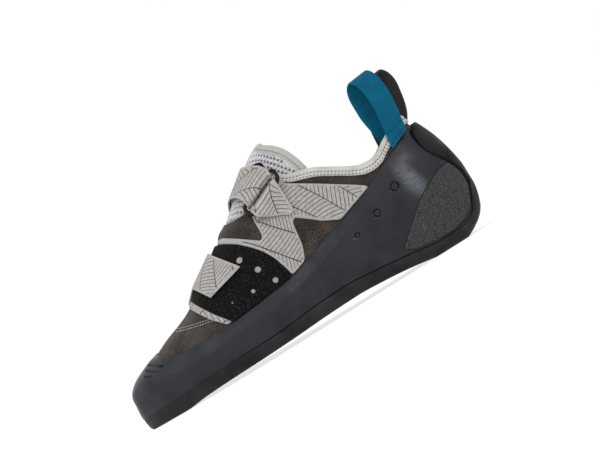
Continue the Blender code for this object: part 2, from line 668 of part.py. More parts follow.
def make_collar_binding(finish):
    """A band folded over the collar's edge, from one end of the throat round the heel to the other."""
    edge = collar_row(0.0)
    low = collar_row(1.0)
    inside = collar_row(0.6)
    count = len(edge[0])
    rise = np.array([0.0, 0.0, 1.0])
    outer_face = BINDING_GAP + BINDING_THICK
    inner_face = -WALL - BINDING_GAP
    profile = (
        skin(*low, BINDING_GAP),
        skin(*low, outer_face),
        skin(*edge, outer_face),
        skin(*edge, -WALL / 2) + rise * outer_face,
        skin(*edge, inner_face - BINDING_THICK),
        skin(*inside, inner_face - BINDING_THICK),
        skin(*inside, inner_face),
        skin(*edge, inner_face) + rise * BINDING_GAP,
        skin(*edge, BINDING_GAP) + rise * BINDING_GAP,
    )
    corners = len(profile)
    faces = []
    for i in range(count - 1):
        for k in range(corners):
            n = (k + 1) % corners
            a, b = k * count + i, n * count + i
            faces.append((a, b, b + 1, a + 1))
    for end in (0, count - 1):
        outer, top, inner, cap = (8, 0, 1, 2), (8, 2, 3, 7), (7, 4, 5, 6), (7, 3, 4)
        for face in (outer, top, inner, cap):
            faces.append([k * count + end for k in face])
    solid("collar_binding", np.concatenate(profile), faces, finish)


def make_tongue(finish):
    patch("tongue", TONGUE_OUTLINE, TONGUE_LIFT, finish)


def make_overlays(finish):
    patch("side_overlay_lateral", on_side(OVERLAY_OUTLINE, OUTER), OVERLAY_LIFT, finish)
    patch("side_overlay_medial", on_side(OVERLAY_OUTLINE, INNER), OVERLAY_LIFT, finish)


def make_heel_patches(finish):
    patch("heel_patch_lateral", on_side(HEEL_PATCH_OUTLINE, OUTER), PATCH_LIFT, finish)
    patch("heel_patch_medial", on_side(HEEL_PATCH_OUTLINE, INNER), PATCH_LIFT, finish)


def make_lower_strap(pad_finish, strap_finish, metal):
    """The wide pad on the outer side, its edge trim, and the strap back over it from the inner ring."""
    patch("lower_strap_pad", PAD_OUTLINE, OVERLAY_LIFT, pad_finish)
    patch("lower_strap_trim", TRIM_OUTLINE, OVERLAY_LIFT, strap_finish)
    ring("ring_medial", INNER_RING, metal)
    edges = strap_edges(INNER_RING)
    low = RING_LIFT - FOLD_RADIUS
    route = [
        (20.0, low, 66.0, 90.0, 0.0), (24.0, low, *edges), *fold(INNER_RING[1] - RING_HALF_HEIGHT, -1, edges),
        (23.0, 7.2, *edges), (15.0, 5.1, 70.5, 92.5, 0.0), (8.0, 3.9, 73.0, 94.8, 0.0),
        (0.0, 3.4, 75.3, 96.6, 0.0), (-10.0, 3.4, 75.9, 97.4, -2.0), (-20.0, 3.4, 77.1, 99.3, -4.0),
        (-30.0, 3.5, 79.0, 102.5, -6.0), (-39.0, 3.7, 81.3, 106.3, -8.0), (-46.4, 3.9, 83.6, 109.8, -9.6),
    ]
    strap("lower_strap", route, strap_finish)
    strap("ring_keeper_medial", keeper_route(INNER_RING, INNER), strap_finish)


def make_upper_strap(strap_finish, metal):
    """The strap over the tongue, from the inner side through the outer ring and back."""
    ring("ring_lateral", OUTER_RING, metal)
    edges = strap_edges(OUTER_RING)
    low = RING_LIFT - FOLD_RADIUS
    route = [
        (40.0, low, 117.0, 138.0, 0.0), (28.0, low, 119.0, 138.8, 0.0), (18.0, 2.0, 121.2, 139.4, 0.0),
        (8.0, 0.3, 123.7, 140.2, 0.0), (0.0, -0.2, 126.0, 141.6, 0.0), (-8.0, 0.4, 128.5, 144.3, 0.0),
        (-17.0, 2.2, 131.6, 149.0, -1.5), (-27.0, low, *edges),
        *fold(OUTER_RING[1] + RING_HALF_HEIGHT, 1, edges),
        (-28.0, 7.2, 133.0, 155.2, -4.0), (-19.0, 4.7, 129.8, 149.6, -2.0), (-9.0, 2.5, 126.7, 145.0, 0.0),
        (0.0, 1.7, 124.5, 141.9, 0.0), (8.0, 2.0, 122.8, 140.0, 0.0), (13.0, 2.7, 121.8, 139.0, 0.0),
    ]
    strap("upper_strap", route, strap_finish)
    strap("ring_keeper_lateral", keeper_route(OUTER_RING, OUTER), strap_finish)


def make_pull_loop(name, side, finish):
    """A loop of webbing at the heel, sewn to the outside and the inside of the collar."""
    route = LOOP_ROUTES[side]
    leg_ends = []
    for lift, (station, height, _) in ((LOOP_OUTER_LIFT, route[0]), (LOOP_INNER_LIFT, route[-1])):
        angle = float(angle_of(station))
        around = angle if side == OUTER else 2 * np.pi - angle
        leg_ends.append(skin(around, level_at(around, height), lift)[1])
    centres = []
    for station, height, share in route:
        y = leg_ends[0] + (leg_ends[1] - leg_ends[0]) * share
        centres.append((station - MID, y, height))
    centres = np.array(centres)
    travel = np.gradient(centres, axis=0)
    width = np.array([1.0, -side * LOOP_YAW, LOOP_RISE])
    thick = np.cross(travel, width)
    thick = thick / np.linalg.norm(thick, axis=1, keepdims=True) * WEBBING_THICK / 2
    half = width / np.linalg.norm(width) * WEBBING_WIDTH / 2
    grids = []
    for sign in (1, -1):
        grids.append(np.stack([centres - half + sign * thick, centres + half + sign * thick], axis=1))
    ribbon_solid(name, grids, finish)


def build():
    rubber = material("rand_rubber", (0.028, 0.034, 0.045), 0.5)
    sole_rubber = material("sole_rubber", (0.021, 0.022, 0.021), 0.6)
    suede = material("suede", (0.10, 0.08, 0.07), 0.9)
    print_grey = material("overlay_fabric", (0.43, 0.41, 0.39), 0.7)
    loop_face = material("loop_fabric", (0.008, 0.008, 0.009), 0.9)
    trim_grey = material("trim_fabric", (0.58, 0.56, 0.54), 0.8)
    speckle = material("heel_texture", (0.07, 0.07, 0.07), 0.8)
    board = material("insole_board", (0.35, 0.33, 0.30), 0.8)
    teal = material("teal_webbing", (0.0, 0.155, 0.283), 0.7)
    black = material("black_webbing", (0.01, 0.01, 0.01), 0.7)
    metal = material("black_ring", (0.01, 0.01, 0.012), 0.35, 0.6)
    make_upper(suede)
    make_rand(rubber)
    make_outsole(sole_rubber)
    make_insole(board)
    make_heel_strip(sole_rubber)
    make_heel_patches(speckle)
    make_tongue(trim_grey)
    make_collar_binding(trim_grey)
    make_overlays(print_grey)
    make_lower_strap(loop_face, print_grey, metal)
    make_upper_strap(print_grey, metal)
    make_pull_loop("pull_loop_lateral", OUTER, teal)
    make_pull_loop("pull_loop_medial", INNER, black)


clear_scene()
SHOE = collection("climbing_shoe")
build()
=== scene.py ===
"""Looks of the climbing shoe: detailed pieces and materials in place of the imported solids.

Sizes are in millimetres, and MM turns them into Blender's metres. The toe points to -X, the
outer side of the foot faces -Y and the shoe stands on z = 0. A station is a distance from the
toe front. Every layer lies on one skin, the outer face of the upper over its last, as in the
part's source. A place on it has an angle round the shoe (0 at the toe, pi at the heel, the
outer side first) and a level (0 at the sole, 1 on the ridge). A flat place is a station and a
way round from the ridge, with the outer side negative.
"""
import math

import bmesh
import bpy
import numpy as np
from mathutils import Matrix, Vector
from mathutils.geometry import delaunay_2d_cdt


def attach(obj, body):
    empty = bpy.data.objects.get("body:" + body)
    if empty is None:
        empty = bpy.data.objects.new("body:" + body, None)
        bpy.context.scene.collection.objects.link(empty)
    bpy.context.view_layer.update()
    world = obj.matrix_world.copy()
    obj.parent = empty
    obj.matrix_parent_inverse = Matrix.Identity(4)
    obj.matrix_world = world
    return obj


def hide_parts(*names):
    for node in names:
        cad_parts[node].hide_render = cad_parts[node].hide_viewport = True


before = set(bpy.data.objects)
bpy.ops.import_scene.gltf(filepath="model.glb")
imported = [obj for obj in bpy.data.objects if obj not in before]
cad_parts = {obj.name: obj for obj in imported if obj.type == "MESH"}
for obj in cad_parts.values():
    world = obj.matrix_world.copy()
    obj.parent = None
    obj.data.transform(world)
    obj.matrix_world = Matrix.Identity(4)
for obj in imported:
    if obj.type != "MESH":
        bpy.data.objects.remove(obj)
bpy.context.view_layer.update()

MM = 0.001
LENGTH = 268.3
MID = LENGTH / 2
SOLE_GAP = 0.45
FOOT_GAP = 0.05                # the walls stand this close to the sole

# Layers, as lifts off the skin
WALL = 2.0
RAND_LIFT = (0.5, 2.4)
OVERLAY_LIFT = (0.5, 1.7)
PATCH_LIFT = (2.75, 3.5)
STRIP_LIFT = (2.85, 4.0)
TONGUE_LIFT = (-6.9, -3.8)
BINDING_WIDTH = (4.2, 5.7)    # at its front end, and from the station where it is full
BINDING_FRONT = 158.5
BINDING_FULL = 186.0
BINDING_TURN = 0.12           # angle before the back over which its rows close up on the ridge
INSOLE_THICK = 2.7
INSOLE_LIFT = -2.4
SOLE_LIFT = 2.8
SOLE_HEEL_LIFT = 4.0
SOLE_HEEL_ANGLE = 0.45
SOLE_FOOT_LIFT = 0.6
SOLE_TOE_LIFT = 1.9           # its foot is less drawn in at the toe
SOLE_BEVEL = 3.2
SOLE_END_BEVEL = (0.85, 0.7)  # the bevel grows to this share of the sole's height at toe and heel
SOLE_END_ANGLE = 0.5
STRAP_THICK = 1.4
WEBBING_THICK = 1.5
WEBBING_WIDTH = 15.5

# Rings
RING_LENGTH = 28.0
RING_HALF_HEIGHT = 4.2
RING_WIRE = 1.3
RING_CORNER = 3.0
RING_LIFT = 5.4
FOLD_RADIUS = 2.5
STRAP_LOW = RING_LIFT - FOLD_RADIUS   # lift of a strap below a ring's bar
STRAP_HALF_WIDTH = 11.5
KEEPER_START = 8.2
KEEPER_END = (                # way from the ring, lift, and how far its front edge has come back
    (8.0, 6.9, 1.0), (11.0, 5.2, 4.5), (14.0, 3.7, 8.0),
    (18.0, 3.0, 12.5), (22.0, 2.9, 16.5), (25.0, 2.9, 19.0),
)

# Cross-sections of the skin, toe to heel
SECTION_COLUMNS = ("station", "outer_y", "inner_y", "wide_z", "ridge_z", "ridge_y", "sole_z", "full")
SECTIONS = (
    (2.8, 12.0, 12.0, 17.0, 22.0, 12.0, 9.3, 0.20),
    (6.7, 2.0, 20.5, 16.0, 28.9, 11.5, 9.4, 0.20),
    (11.5, -4.0, 25.0, 15.5, 32.3, 11.0, 9.6, 0.20),
    (21.0, -13.0, 31.0, 15.5, 36.4, 10.0, 9.8, 0.20),
    (40.0, -26.0, 39.0, 16.0, 45.5, 8.0, 10.6, 0.20),
    (60.0, -36.5, 43.5, 17.0, 53.0, 6.0, 11.8, 0.15),
    (80.0, -43.0, 45.0, 18.5, 66.0, 4.5, 12.6, 0.10),
    (100.0, -45.5, 43.0, 20.0, 79.5, 3.0, 12.7, 0.10),
    (120.0, -43.5, 39.0, 22.0, 96.5, 2.0, 13.8, 0.10),
    (140.0, -39.0, 34.0, 24.0, 112.0, 1.0, 15.4, 0.10),
    (160.0, -35.0, 31.0, 25.0, 128.5, 0.0, 15.8, 0.10),
    (180.0, -32.5, 29.5, 26.0, 135.0, 0.0, 14.2, 0.10),
    (205.0, -31.0, 29.5, 27.0, 133.0, 0.0, 11.3, 0.15),
    (230.0, -29.5, 29.0, 28.0, 120.0, 0.0, 8.2, 0.15),
    (245.0, -26.5, 26.5, 30.0, 99.0, 0.0, 8.8, 0.15),
    (252.3, -23.0, 23.0, 32.0, 81.5, 0.0, 11.8, 0.15),
    (257.6, -18.3, 18.3, 34.5, 70.0, 0.0, 19.0, 0.15),
    (260.6, -14.4, 14.4, 37.0, 61.0, 0.0, 26.5, 0.15),
    (263.0, -9.4, 9.4, 39.2, 50.5, 0.0, 32.2, 0.15),
    (264.0, -5.0, 5.0, 39.8, 44.6, 0.0, 34.4, 0.15),
    (264.3, 0.0, 0.0, 40.0, 41.5, 0.0, 35.0, 0.15),
)
TOE = SECTIONS[0][0]
HEEL = SECTIONS[-1][0]
WIDE_LEVEL = 0.2              # level of the widest place
TUCK = 0.02                   # share of its half width by which a section draws in at the sole

# Side-view lines, as station and height
SOLE_BOTTOM = (
    (2.8, 1.5), (4.5, 0.0), (30.0, 0.0), (45.0, 1.5), (60.0, 2.4), (90.0, 3.3), (115.0, 4.1),
    (140.0, 5.2), (165.0, 5.7), (180.0, 4.9), (198.0, 3.3), (210.0, 1.7), (218.0, 0.4),
    (221.0, 0.0), (244.5, 0.0), (248.0, 1.4), (252.0, 3.4), (258.0, 7.2), (262.0, 11.4), (264.3, 14.8),
)
OPEN_EDGE = (
    (108.0, 100.0), (113.0, 91.5), (120.0, 89.8), (134.0, 90.0), (146.0, 95.0), (157.0, 99.6),
    (165.0, 95.5), (181.0, 90.8), (192.0, 84.8), (204.0, 77.8), (210.0, 75.4), (216.0, 74.9),
    (222.0, 76.2), (230.0, 81.0), (240.0, 86.1), (250.0, 89.5), (266.0, 90.0),
)
RAND_EDGE = (
    (2.8, 60.0), (29.0, 60.0), (31.0, 41.5), (36.0, 37.2), (42.0, 34.5), (50.0, 33.2), (80.0, 33.0),
    (110.0, 35.5), (134.0, 38.5), (148.0, 43.0), (200.0, 59.2), (222.0, 69.0), (248.0, 79.3), (266.0, 82.5),
)
THROAT_SPAN = (108.0, 125.0)  # the edges leave the ridge between these stations
BACK_SPAN = (235.0, 262.0)
BINDING_BACK_SPAN = (235.0, 264.0)
RAND_TOE_SPAN = (20.0, 42.0)
STRIP_EDGE = (                # as height and station: the strip's front edge
    (32.0, 262.2), (38.0, 262.0), (43.0, 260.5), (49.0, 257.5), (56.0, 252.8), (64.0, 249.0), (74.0, 247.8),
    (81.0, 249.0),
)

# Outlines on the skin, as station and height, with the side (-1 outer, 1 inner) where they have one
OUTER, INNER = -1, 1
SIDES = (OUTER, INNER)
SIDE_NAMES = {OUTER: "lateral", INNER: "medial"}
RINGS = {OUTER: (146.0, -39.0, -0.2), INNER: (79.0, 33.0, 0.0)}   # station, way round from the ridge, turn


def on_side(outline, side):
    return tuple((station, height, side) for station, height in outline)


OVERLAY_OUTLINE = (
    (135.5, 39.8), (146.5, 43.4), (150.0, 52.0), (151.5, 62.0), (152.5, 68.5), (155.5, 70.5), (160.0, 67.0),
    (170.0, 59.0), (180.0, 53.6), (193.0, 57.8), (206.5, 62.2), (200.0, 67.0), (180.0, 80.2), (162.0, 91.5),
    (157.0, 98.8), (146.0, 94.0), (133.6, 88.5), (132.4, 82.0), (132.0, 71.0), (129.3, 67.8),
    (118.0, 76.2), (108.9, 82.4), (105.9, 82.6), (104.6, 81.2), (108.9, 79.0), (115.6, 74.3),
    (121.8, 68.2), (127.0, 61.8), (131.0, 54.2), (133.5, 46.2), (135.0, 40.0),
)
PAD_REAR = (
    (87.5, 34.2), (110.0, 36.6), (133.8, 39.6), (132.5, 46.0), (130.0, 54.0), (126.0, 61.5), (120.8, 67.6),
    (114.6, 73.6), (107.4, 78.0), (102.9, 79.8),
)
PAD_FRONT = ((70.0, 58.5), (80.0, 43.6))
PAD_INNER_END = ((98.0, 75.5), (65.0, 52.0))
PAD_OUTLINE = on_side(PAD_REAR, OUTER) + on_side(PAD_INNER_END, INNER) + on_side(PAD_FRONT, OUTER)
TRIM_OUTLINE = on_side(
    ((82.8, 34.2), (86.8, 34.3), (79.5, 43.2), (69.4, 58.3), (66.0, 54.8), (75.0, 42.2)), OUTER,
)
TONGUE_HALF = (
    (96.0, 66.0), (113.0, 76.0), (134.0, 78.0), (157.0, 86.0), (180.5, 86.0), (180.5, 94.0), (178.0, 104.0),
    (173.6, 114.4), (166.2, 122.4), (160.0, 126.4),
)
TONGUE_OUTLINE = on_side(TONGUE_HALF, OUTER) + on_side(TONGUE_HALF[::-1], INNER)
HEEL_PATCH_OUTLINE = (
    (205.0, 15.6), (214.5, 23.5), (230.0, 36.5), (240.0, 42.0), (250.0, 46.3), (256.5, 47.5),
    (259.3, 42.5), (260.4, 37.0), (260.2, 30.5), (258.0, 24.5), (255.5, 18.8), (252.0, 14.8), (246.0, 11.6),
    (238.0, 9.8), (228.0, 9.8), (218.0, 10.9), (210.0, 12.6),
)

# Pull loops: station, height, and place between the outer leg (0) and the inner leg (1)
LOOP_ROUTES = {
    OUTER: (
        (240.3, 77.5, 0.0), (241.0, 85.0, 0.0), (242.5, 95.0, -0.10), (243.5, 106.0, -0.15),
        (243.0, 116.0, -0.05), (241.0, 123.0, 0.20), (238.3, 126.0, 0.55), (235.1, 123.0, 0.90),
        (233.3, 115.5, 1.12), (233.2, 105.0, 1.20), (234.6, 93.0, 1.15), (236.5, 80.0, 1.0),
    ),
    INNER: (
        (240.8, 77.5, 0.0), (246.0, 84.0, 0.0), (250.6, 92.5, -0.08), (253.2, 103.5, -0.15),
        (254.2, 112.0, -0.10), (252.5, 119.5, 0.15), (248.5, 123.2, 0.50), (244.5, 121.5, 0.88),
        (241.8, 114.0, 1.12), (240.3, 103.5, 1.20), (235.9, 92.0, 1.18), (234.9, 80.0, 1.05),
    ),
}
LOOP_OUTER_LIFT = 3.8
LOOP_INNER_LIFT = -10.0
LOOP_YAW = 0.34               # the webbing's width runs back, this much sideways and this much up
LOOP_RISE = 0.12

# Reliefs, as station and height in the side view
TOE_GROOVES = (((23.8, 36.3), (32.4, 32.0)), ((20.5, 34.2), (28.2, 30.2)), ((17.7, 31.4), (23.0, 29.9)))
GROOVE_DEPTH = 0.9
GROOVE_HALF = 0.45
RAND_DIMPLES = ((221.0, 53.0, 3.1), (202.3, 44.5, 2.6), (184.0, 39.0, 1.7))   # station, height, radius
DIMPLE_DEPTH = 1.0
DIMPLE_RIM = 0.84             # shares of the radius
DIMPLE_RIM_HALF = 0.17
DIMPLE_FLOOR = 0.4            # share of the depth
TOE_SWELL = 0.85              # the rand's foot stands out this much further at the toe
TOE_SWELL_REACH = (9.0, 14.0)   # along the shoe, and up from the foot
PAINTED_SHEEN = (232.5, 51.0)        # painted sheen: lighter there, on the outer side
PAINTED_SHEEN_REACH = (8.0, 15.0)    # along the shoe and up
PAINTED_SHEEN_MARK = 0.8
VENT_DOTS = (
    (111.0, 64.7, 2.2), (117.8, 53.7, 2.1), (123.7, 42.2, 1.9), (108.0, 43.5, 1.4), (93.0, 44.0, 0.7),
)
VENT_DEPTH = 0.55
CREASES = (                   # path as (station, height), rise (a trough's is negative), half width
    (((46.0, 38.0), (52.0, 40.8), (57.0, 44.5)), -0.35, 1.8),
    (((52.0, 36.0), (59.0, 39.2), (64.0, 42.5)), -0.30, 1.6),
    (((38.0, 38.0), (42.0, 39.8), (45.0, 41.5)), -0.25, 1.6),
    (((107.0, 87.0), (118.0, 85.0), (131.0, 79.5)), 0.65, 2.6),
    (((112.0, 81.5), (121.0, 79.0), (128.0, 73.5)), -0.50, 2.0),
    (((154.0, 64.0), (160.0, 55.0), (164.0, 48.5)), -0.55, 2.2),
    (((160.0, 63.0), (168.0, 54.0), (172.0, 50.5)), 0.45, 2.4),
    (((178.0, 88.0), (190.0, 80.0), (204.0, 72.5)), 0.40, 2.0),
)

# Mesh fineness
COLUMN_SPACING = 2.0          # between columns of the shells
POLE_STEP = 0.022             # largest angle between columns, at toe and heel
EDGE_ROWS = (0.0, 0.08, 0.25, 0.5, 0.85, 1.3)
PATCH_RINGS = (0.0, 0.1, 0.28, 0.55, 0.9)
RING_KEPT = 0.9               # a ring keeps the places that are this share of its offset from the edge
GRID_GAP = 0.4                # between a patch's rings and its grid, in spacings
DENT_POINTS = (10, 12)        # round a dent: at least, and for each millimetre of its size
DENT_GAP = 0.15               # between a dent and the grid, in the dent's sizes
EVEN_STEP = 0.5
OUTLINE_STEP = 1.0
PATH_POINTS = 12              # on each run of a path, before it is spaced evenly
INNER_ROW_STRIDE = 5          # a shell's inner face has one row for so many of its outer face
UPPER_ROWS = 62
RAND_ROWS = 105
# Zones with closer columns: stations and spacing
UPPER_ZONES = ((38.0, 75.0, 1.3), (104.0, 136.0, 1.0), (150.0, 206.0, 1.4))
TOE_ZONE = (14.0, 34.0, 0.5)
DIMPLE_ZONE = (1.3, 0.35)     # reach in radii, and column spacing
PATCH_SPACING = {"heel": 1.3, "tongue": 1.3, "overlay": 1.6, "pad": 1.5, "trim": 1.2}
PLATE_ACROSS = 25
STRIP_ROWS = 80
STRIP_ACROSS = 61
STRIP_RIDGE = (240.0, 400)    # station from which the ridge is sampled for the strip, and number of samples
COLLAR_COLUMNS = 150
FOLD_ROWS = 7
RING_BAR_POINTS = 14


def unit(vectors):
    return vectors / np.linalg.norm(vectors, axis=-1, keepdims=True)


def lengths_along(points):
    """Length of a path of points up to each of them."""
    return np.concatenate([[0], np.cumsum(np.linalg.norm(np.diff(points, axis=0), axis=1))])


def rounded(share):
    """A quarter circle's rise, from 0 to 1 as the share does."""
    return np.sqrt(1 - (1 - np.clip(share, 0, 1)) ** 2)


def monotone_slopes(knots, values):
    """Slopes at the knots that let a curve pass through them without overshoot."""
    step = np.diff(knots)
    secant = np.diff(values) / step
    slopes = np.zeros(len(knots))
    slopes[0] = secant[0]
    slopes[-1] = secant[-1]
    for i in range(1, len(knots) - 1):
        if secant[i - 1] * secant[i] > 0:
            before = step[i - 1] + 2 * step[i]
            after = 2 * step[i - 1] + step[i]
            slopes[i] = (before + after) / (before / secant[i - 1] + after / secant[i])
    return slopes


def through(knots, values, x):
    """A smooth curve through the knots, read at x."""
    knots = np.asarray(knots, float)
    values = np.asarray(values, float)
    slopes = monotone_slopes(knots, values)
    x = np.clip(x, knots[0], knots[-1])
    i = np.clip(np.searchsorted(knots, x) - 1, 0, len(knots) - 2)
    step = knots[i + 1] - knots[i]
    t = (x - knots[i]) / step
    ends = (1 + 2 * t) * (1 - t) ** 2 * values[i] + t * t * (3 - 2 * t) * values[i + 1]
    return ends + step * (t * (1 - t) ** 2 * slopes[i] + t * t * (t - 1) * slopes[i + 1])


def side_line(line, station):
    """Height of a side-view line at a station."""
    return through([row[0] for row in line], [row[1] for row in line], station)


def angle_of(station):
    """Angle from the toe (0 to pi) of a station on the skin."""
    share = np.clip((np.asarray(station, float) - TOE) / (HEEL - TOE), 0, 1)
    return np.arccos(1 - 2 * share)


def station_of(angle):
    """Station of an angle from the toe."""
    return TOE + (HEEL - TOE) * (1 - np.cos(angle)) / 2


SECTION_ANGLES = angle_of([row[0] for row in SECTIONS])


def section(angle, column):
    """One column of the section table at an angle from the toe."""
    index = SECTION_COLUMNS.index(column)
    return through(SECTION_ANGLES, [row[index] for row in SECTIONS], angle)


def from_toe(around):
    """Angle from the toe, 0 to pi on either side, of an angle all the way round."""
    around = np.mod(around, 2 * np.pi)
    return np.minimum(around, 2 * np.pi - around)


def bare_skin(around, level):
    """Points of the skin itself."""
    around, level = np.broadcast_arrays(np.asarray(around, float), np.asarray(level, float))
    angle = from_toe(around)
    outer = np.mod(around, 2 * np.pi) <= np.pi
    ridge_y = section(angle, "ridge_y")
    wide_z = section(angle, "wide_z")
    half = np.where(outer, section(angle, "outer_y"), section(angle, "inner_y")) - ridge_y
    rise = np.clip((level - WIDE_LEVEL) / (1 - WIDE_LEVEL), 0, 1) * np.pi / 2
    drop = np.clip(1 - level / WIDE_LEVEL, 0, 1)
    y = ridge_y + half * (np.cos(rise) * (1 + section(angle, "full") * np.sin(rise) ** 2) - TUCK * drop ** 2)
    z = wide_z + (section(angle, "ridge_z") - wide_z) * np.sin(rise)
    z = z - (wide_z - section(angle, "sole_z") - SOLE_GAP) * drop
    return np.stack([station_of(angle) - MID, y, z], axis=-1)


SKIN_STEP = 1e-4              # of the differences that give the skin's facing
POLE_LEVEL = 0.98             # at toe and heel the facing is read no higher than here


def skin(around, level, lift):
    """Points that lie a distance (lift) off the skin."""
    around, level = np.broadcast_arrays(np.asarray(around, float), np.asarray(level, float))
    at_end = np.isclose(np.sin(around), 0, atol=1e-6)
    facing = np.where(at_end, np.minimum(level, POLE_LEVEL), level)
    along = bare_skin(around + SKIN_STEP, facing) - bare_skin(around - SKIN_STEP, facing)
    above, below = np.minimum(facing + SKIN_STEP, 1), np.maximum(facing - SKIN_STEP, 0)
    up = bare_skin(around, above) - bare_skin(around, below)
    return bare_skin(around, level) + np.asarray(lift)[..., None] * unit(np.cross(along, up))


def foot(around, lift, height):
    """Points level with the skin's lower edge, moved out by lift, at the given heights."""
    around = np.asarray(around, float)
    along = bare_skin(around + SKIN_STEP, 0.0) - bare_skin(around - SKIN_STEP, 0.0)
    outward = unit(np.stack([along[:, 1], -along[:, 0]], axis=-1))
    points = bare_skin(around, 0.0)
    points[:, :2] += np.broadcast_to(lift, around.shape)[:, None] * outward
    points[:, 2] = height
    return points


def level_at(around, height):
    """Level of the skin at a height, at most the ridge's."""
    angle = from_toe(around)
    wide_z = section(angle, "wide_z")
    sole_z = section(angle, "sole_z") + SOLE_GAP
    share = np.clip((height - wide_z) / (section(angle, "ridge_z") - wide_z), 0, 1)
    upper = WIDE_LEVEL + (1 - WIDE_LEVEL) * np.arcsin(share) * 2 / np.pi
    lower = WIDE_LEVEL * np.clip((height - sole_z) / (wide_z - sole_z), 0, 1)
    return np.where(height >= wide_z, upper, lower)


# Ways round the sections from the ridge, worked out at closely spaced angles and levels
ARC_ANGLES = np.linspace(0, np.pi, 721)
ARC_LEVELS = np.linspace(1, 0, 301)
ARC_STRIDE = 1000.0           # keeps the rows of the table apart when it is searched as one list


def arc_table(side):
    around = ARC_ANGLES if side == OUTER else 2 * np.pi - ARC_ANGLES
    points = bare_skin(around[:, None], ARC_LEVELS[None, :])
    steps = np.linalg.norm(np.diff(points, axis=1), axis=2)
    return np.concatenate([np.zeros((len(around), 1)), np.cumsum(steps, axis=1)], axis=1)


ARCS = {side: arc_table(side) for side in SIDES}


def arc_row(angle):
    """Row of the arc table just before an angle, and the share of the way to the next row."""
    place = np.asarray(angle) / np.pi * (len(ARC_ANGLES) - 1)
    row = np.clip(place.astype(int), 0, len(ARC_ANGLES) - 2)
    return row, place - row


def level_in_row(arcs, row, way):
    """Level at a way round from the ridge, in the given rows of an arc table."""
    width = len(ARC_LEVELS)
    flat = (arcs + ARC_STRIDE * np.arange(len(arcs))[:, None]).ravel()
    key = np.minimum(way, arcs[row, -1]) + ARC_STRIDE * row
    right = np.clip(np.searchsorted(flat, key), row * width + 1, row * width + width - 1)
    share = (key - flat[right - 1]) / (flat[right] - flat[right - 1])
    left = right - 1 - row * width
    return ARC_LEVELS[left] + share * (ARC_LEVELS[left + 1] - ARC_LEVELS[left])


def level_round(angle, girth):
    """Level at a way round the section from its ridge (outer side negative)."""
    angle, girth = np.broadcast_arrays(np.asarray(angle, float), np.asarray(girth, float))
    row, share = arc_row(angle)
    way = np.abs(girth)
    levels = {}
    for side in SIDES:
        low, high = (level_in_row(ARCS[side], row + step, way) for step in (0, 1))
        levels[side] = low + (high - low) * share
    return np.where(girth < 0, levels[OUTER], levels[INNER])


def way_at(angle, level, side):
    """Way round from the ridge, without its sign, of a level on one side."""
    row, share = arc_row(angle)
    column = (1 - np.asarray(level)) * (len(ARC_LEVELS) - 1)
    left = np.clip(column.astype(int), 0, len(ARC_LEVELS) - 2)
    part = column - left
    ways = []
    for step in (0, 1):
        pair = [np.where(side == OUTER, ARCS[OUTER][row + step, at], ARCS[INNER][row + step, at])
                for at in (left, left + 1)]
        ways.append(pair[0] + (pair[1] - pair[0]) * part)
    return ways[0] + (ways[1] - ways[0]) * share


def on_skin(station, girth, lift):
    """Points over flat places, a distance (lift) off the skin."""
    angle = angle_of(station)
    around = np.where(np.asarray(girth) < 0, angle, 2 * np.pi - angle)
    return skin(around, level_round(angle, girth), lift)


def flat_place(station, height, side):
    """Flat place of a point in the side view of one side."""
    angle = angle_of(station)
    level = level_at(angle, np.asarray(height, float))
    return np.stack([np.broadcast_to(station, level.shape), side * way_at(angle, level, side)], axis=-1)


HALVINGS = 50
RIDGE_LEVEL = 0.9999          # an edge above this level lies on the ridge


def ridge_meeting(line, low, high):
    """Angle between two stations at which a side-view line meets the ridge."""
    first, last = angle_of(low), angle_of(high)
    over = side_line(line, low) > section(first, "ridge_z")
    for _ in range(HALVINGS):
        middle = (first + last) / 2
        if (side_line(line, station_of(middle)) > section(middle, "ridge_z")) == over:
            first = middle
        else:
            last = middle
    return first


COLLAR_BACK_ANGLE = ridge_meeting(OPEN_EDGE, *BACK_SPAN)
LEAVING = 0.8                 # reach of the close columns where an edge leaves the ridge
LEAVING_SPACING = 0.1


def leaving_zone(line, low, high):
    """Zone of close columns where a side-view line meets the ridge between two stations."""
    station = float(station_of(ridge_meeting(line, low, high)))
    return station - LEAVING, station + LEAVING, LEAVING_SPACING


def smooth(low, high, x):
    """0 below low, 1 above high, with a soft step between."""
    t = np.clip((np.asarray(x, float) - low) / (high - low), 0, 1)
    return t * t * (3 - 2 * t)


def path_distance(points, path, closed=False):
    """Distance of flat points from a path of straight runs."""
    path = np.asarray(path, float)
    ends = np.roll(path, -1, axis=0) if closed else path[1:]
    starts = path if closed else path[:-1]
    best = np.full(len(points), np.inf)
    for start, end in zip(starts, ends):
        run = end - start
        share = np.clip((points - start) @ run / max(run @ run, 1e-12), 0, 1)
        best = np.minimum(best, np.hypot(*(points - start - share[:, None] * run).T))
    return best


def inside(points, loop):
    """Whether flat points lie inside a closed loop."""
    result = np.zeros(len(points), bool)
    for (x0, y0), (x1, y1) in zip(loop, np.roll(loop, -1, axis=0)):
        crosses = (y0 > points[:, 1]) != (y1 > points[:, 1])
        if y0 != y1:
            result ^= crosses & (points[:, 0] < x0 + (points[:, 1] - y0) / (y1 - y0) * (x1 - x0))
    return result


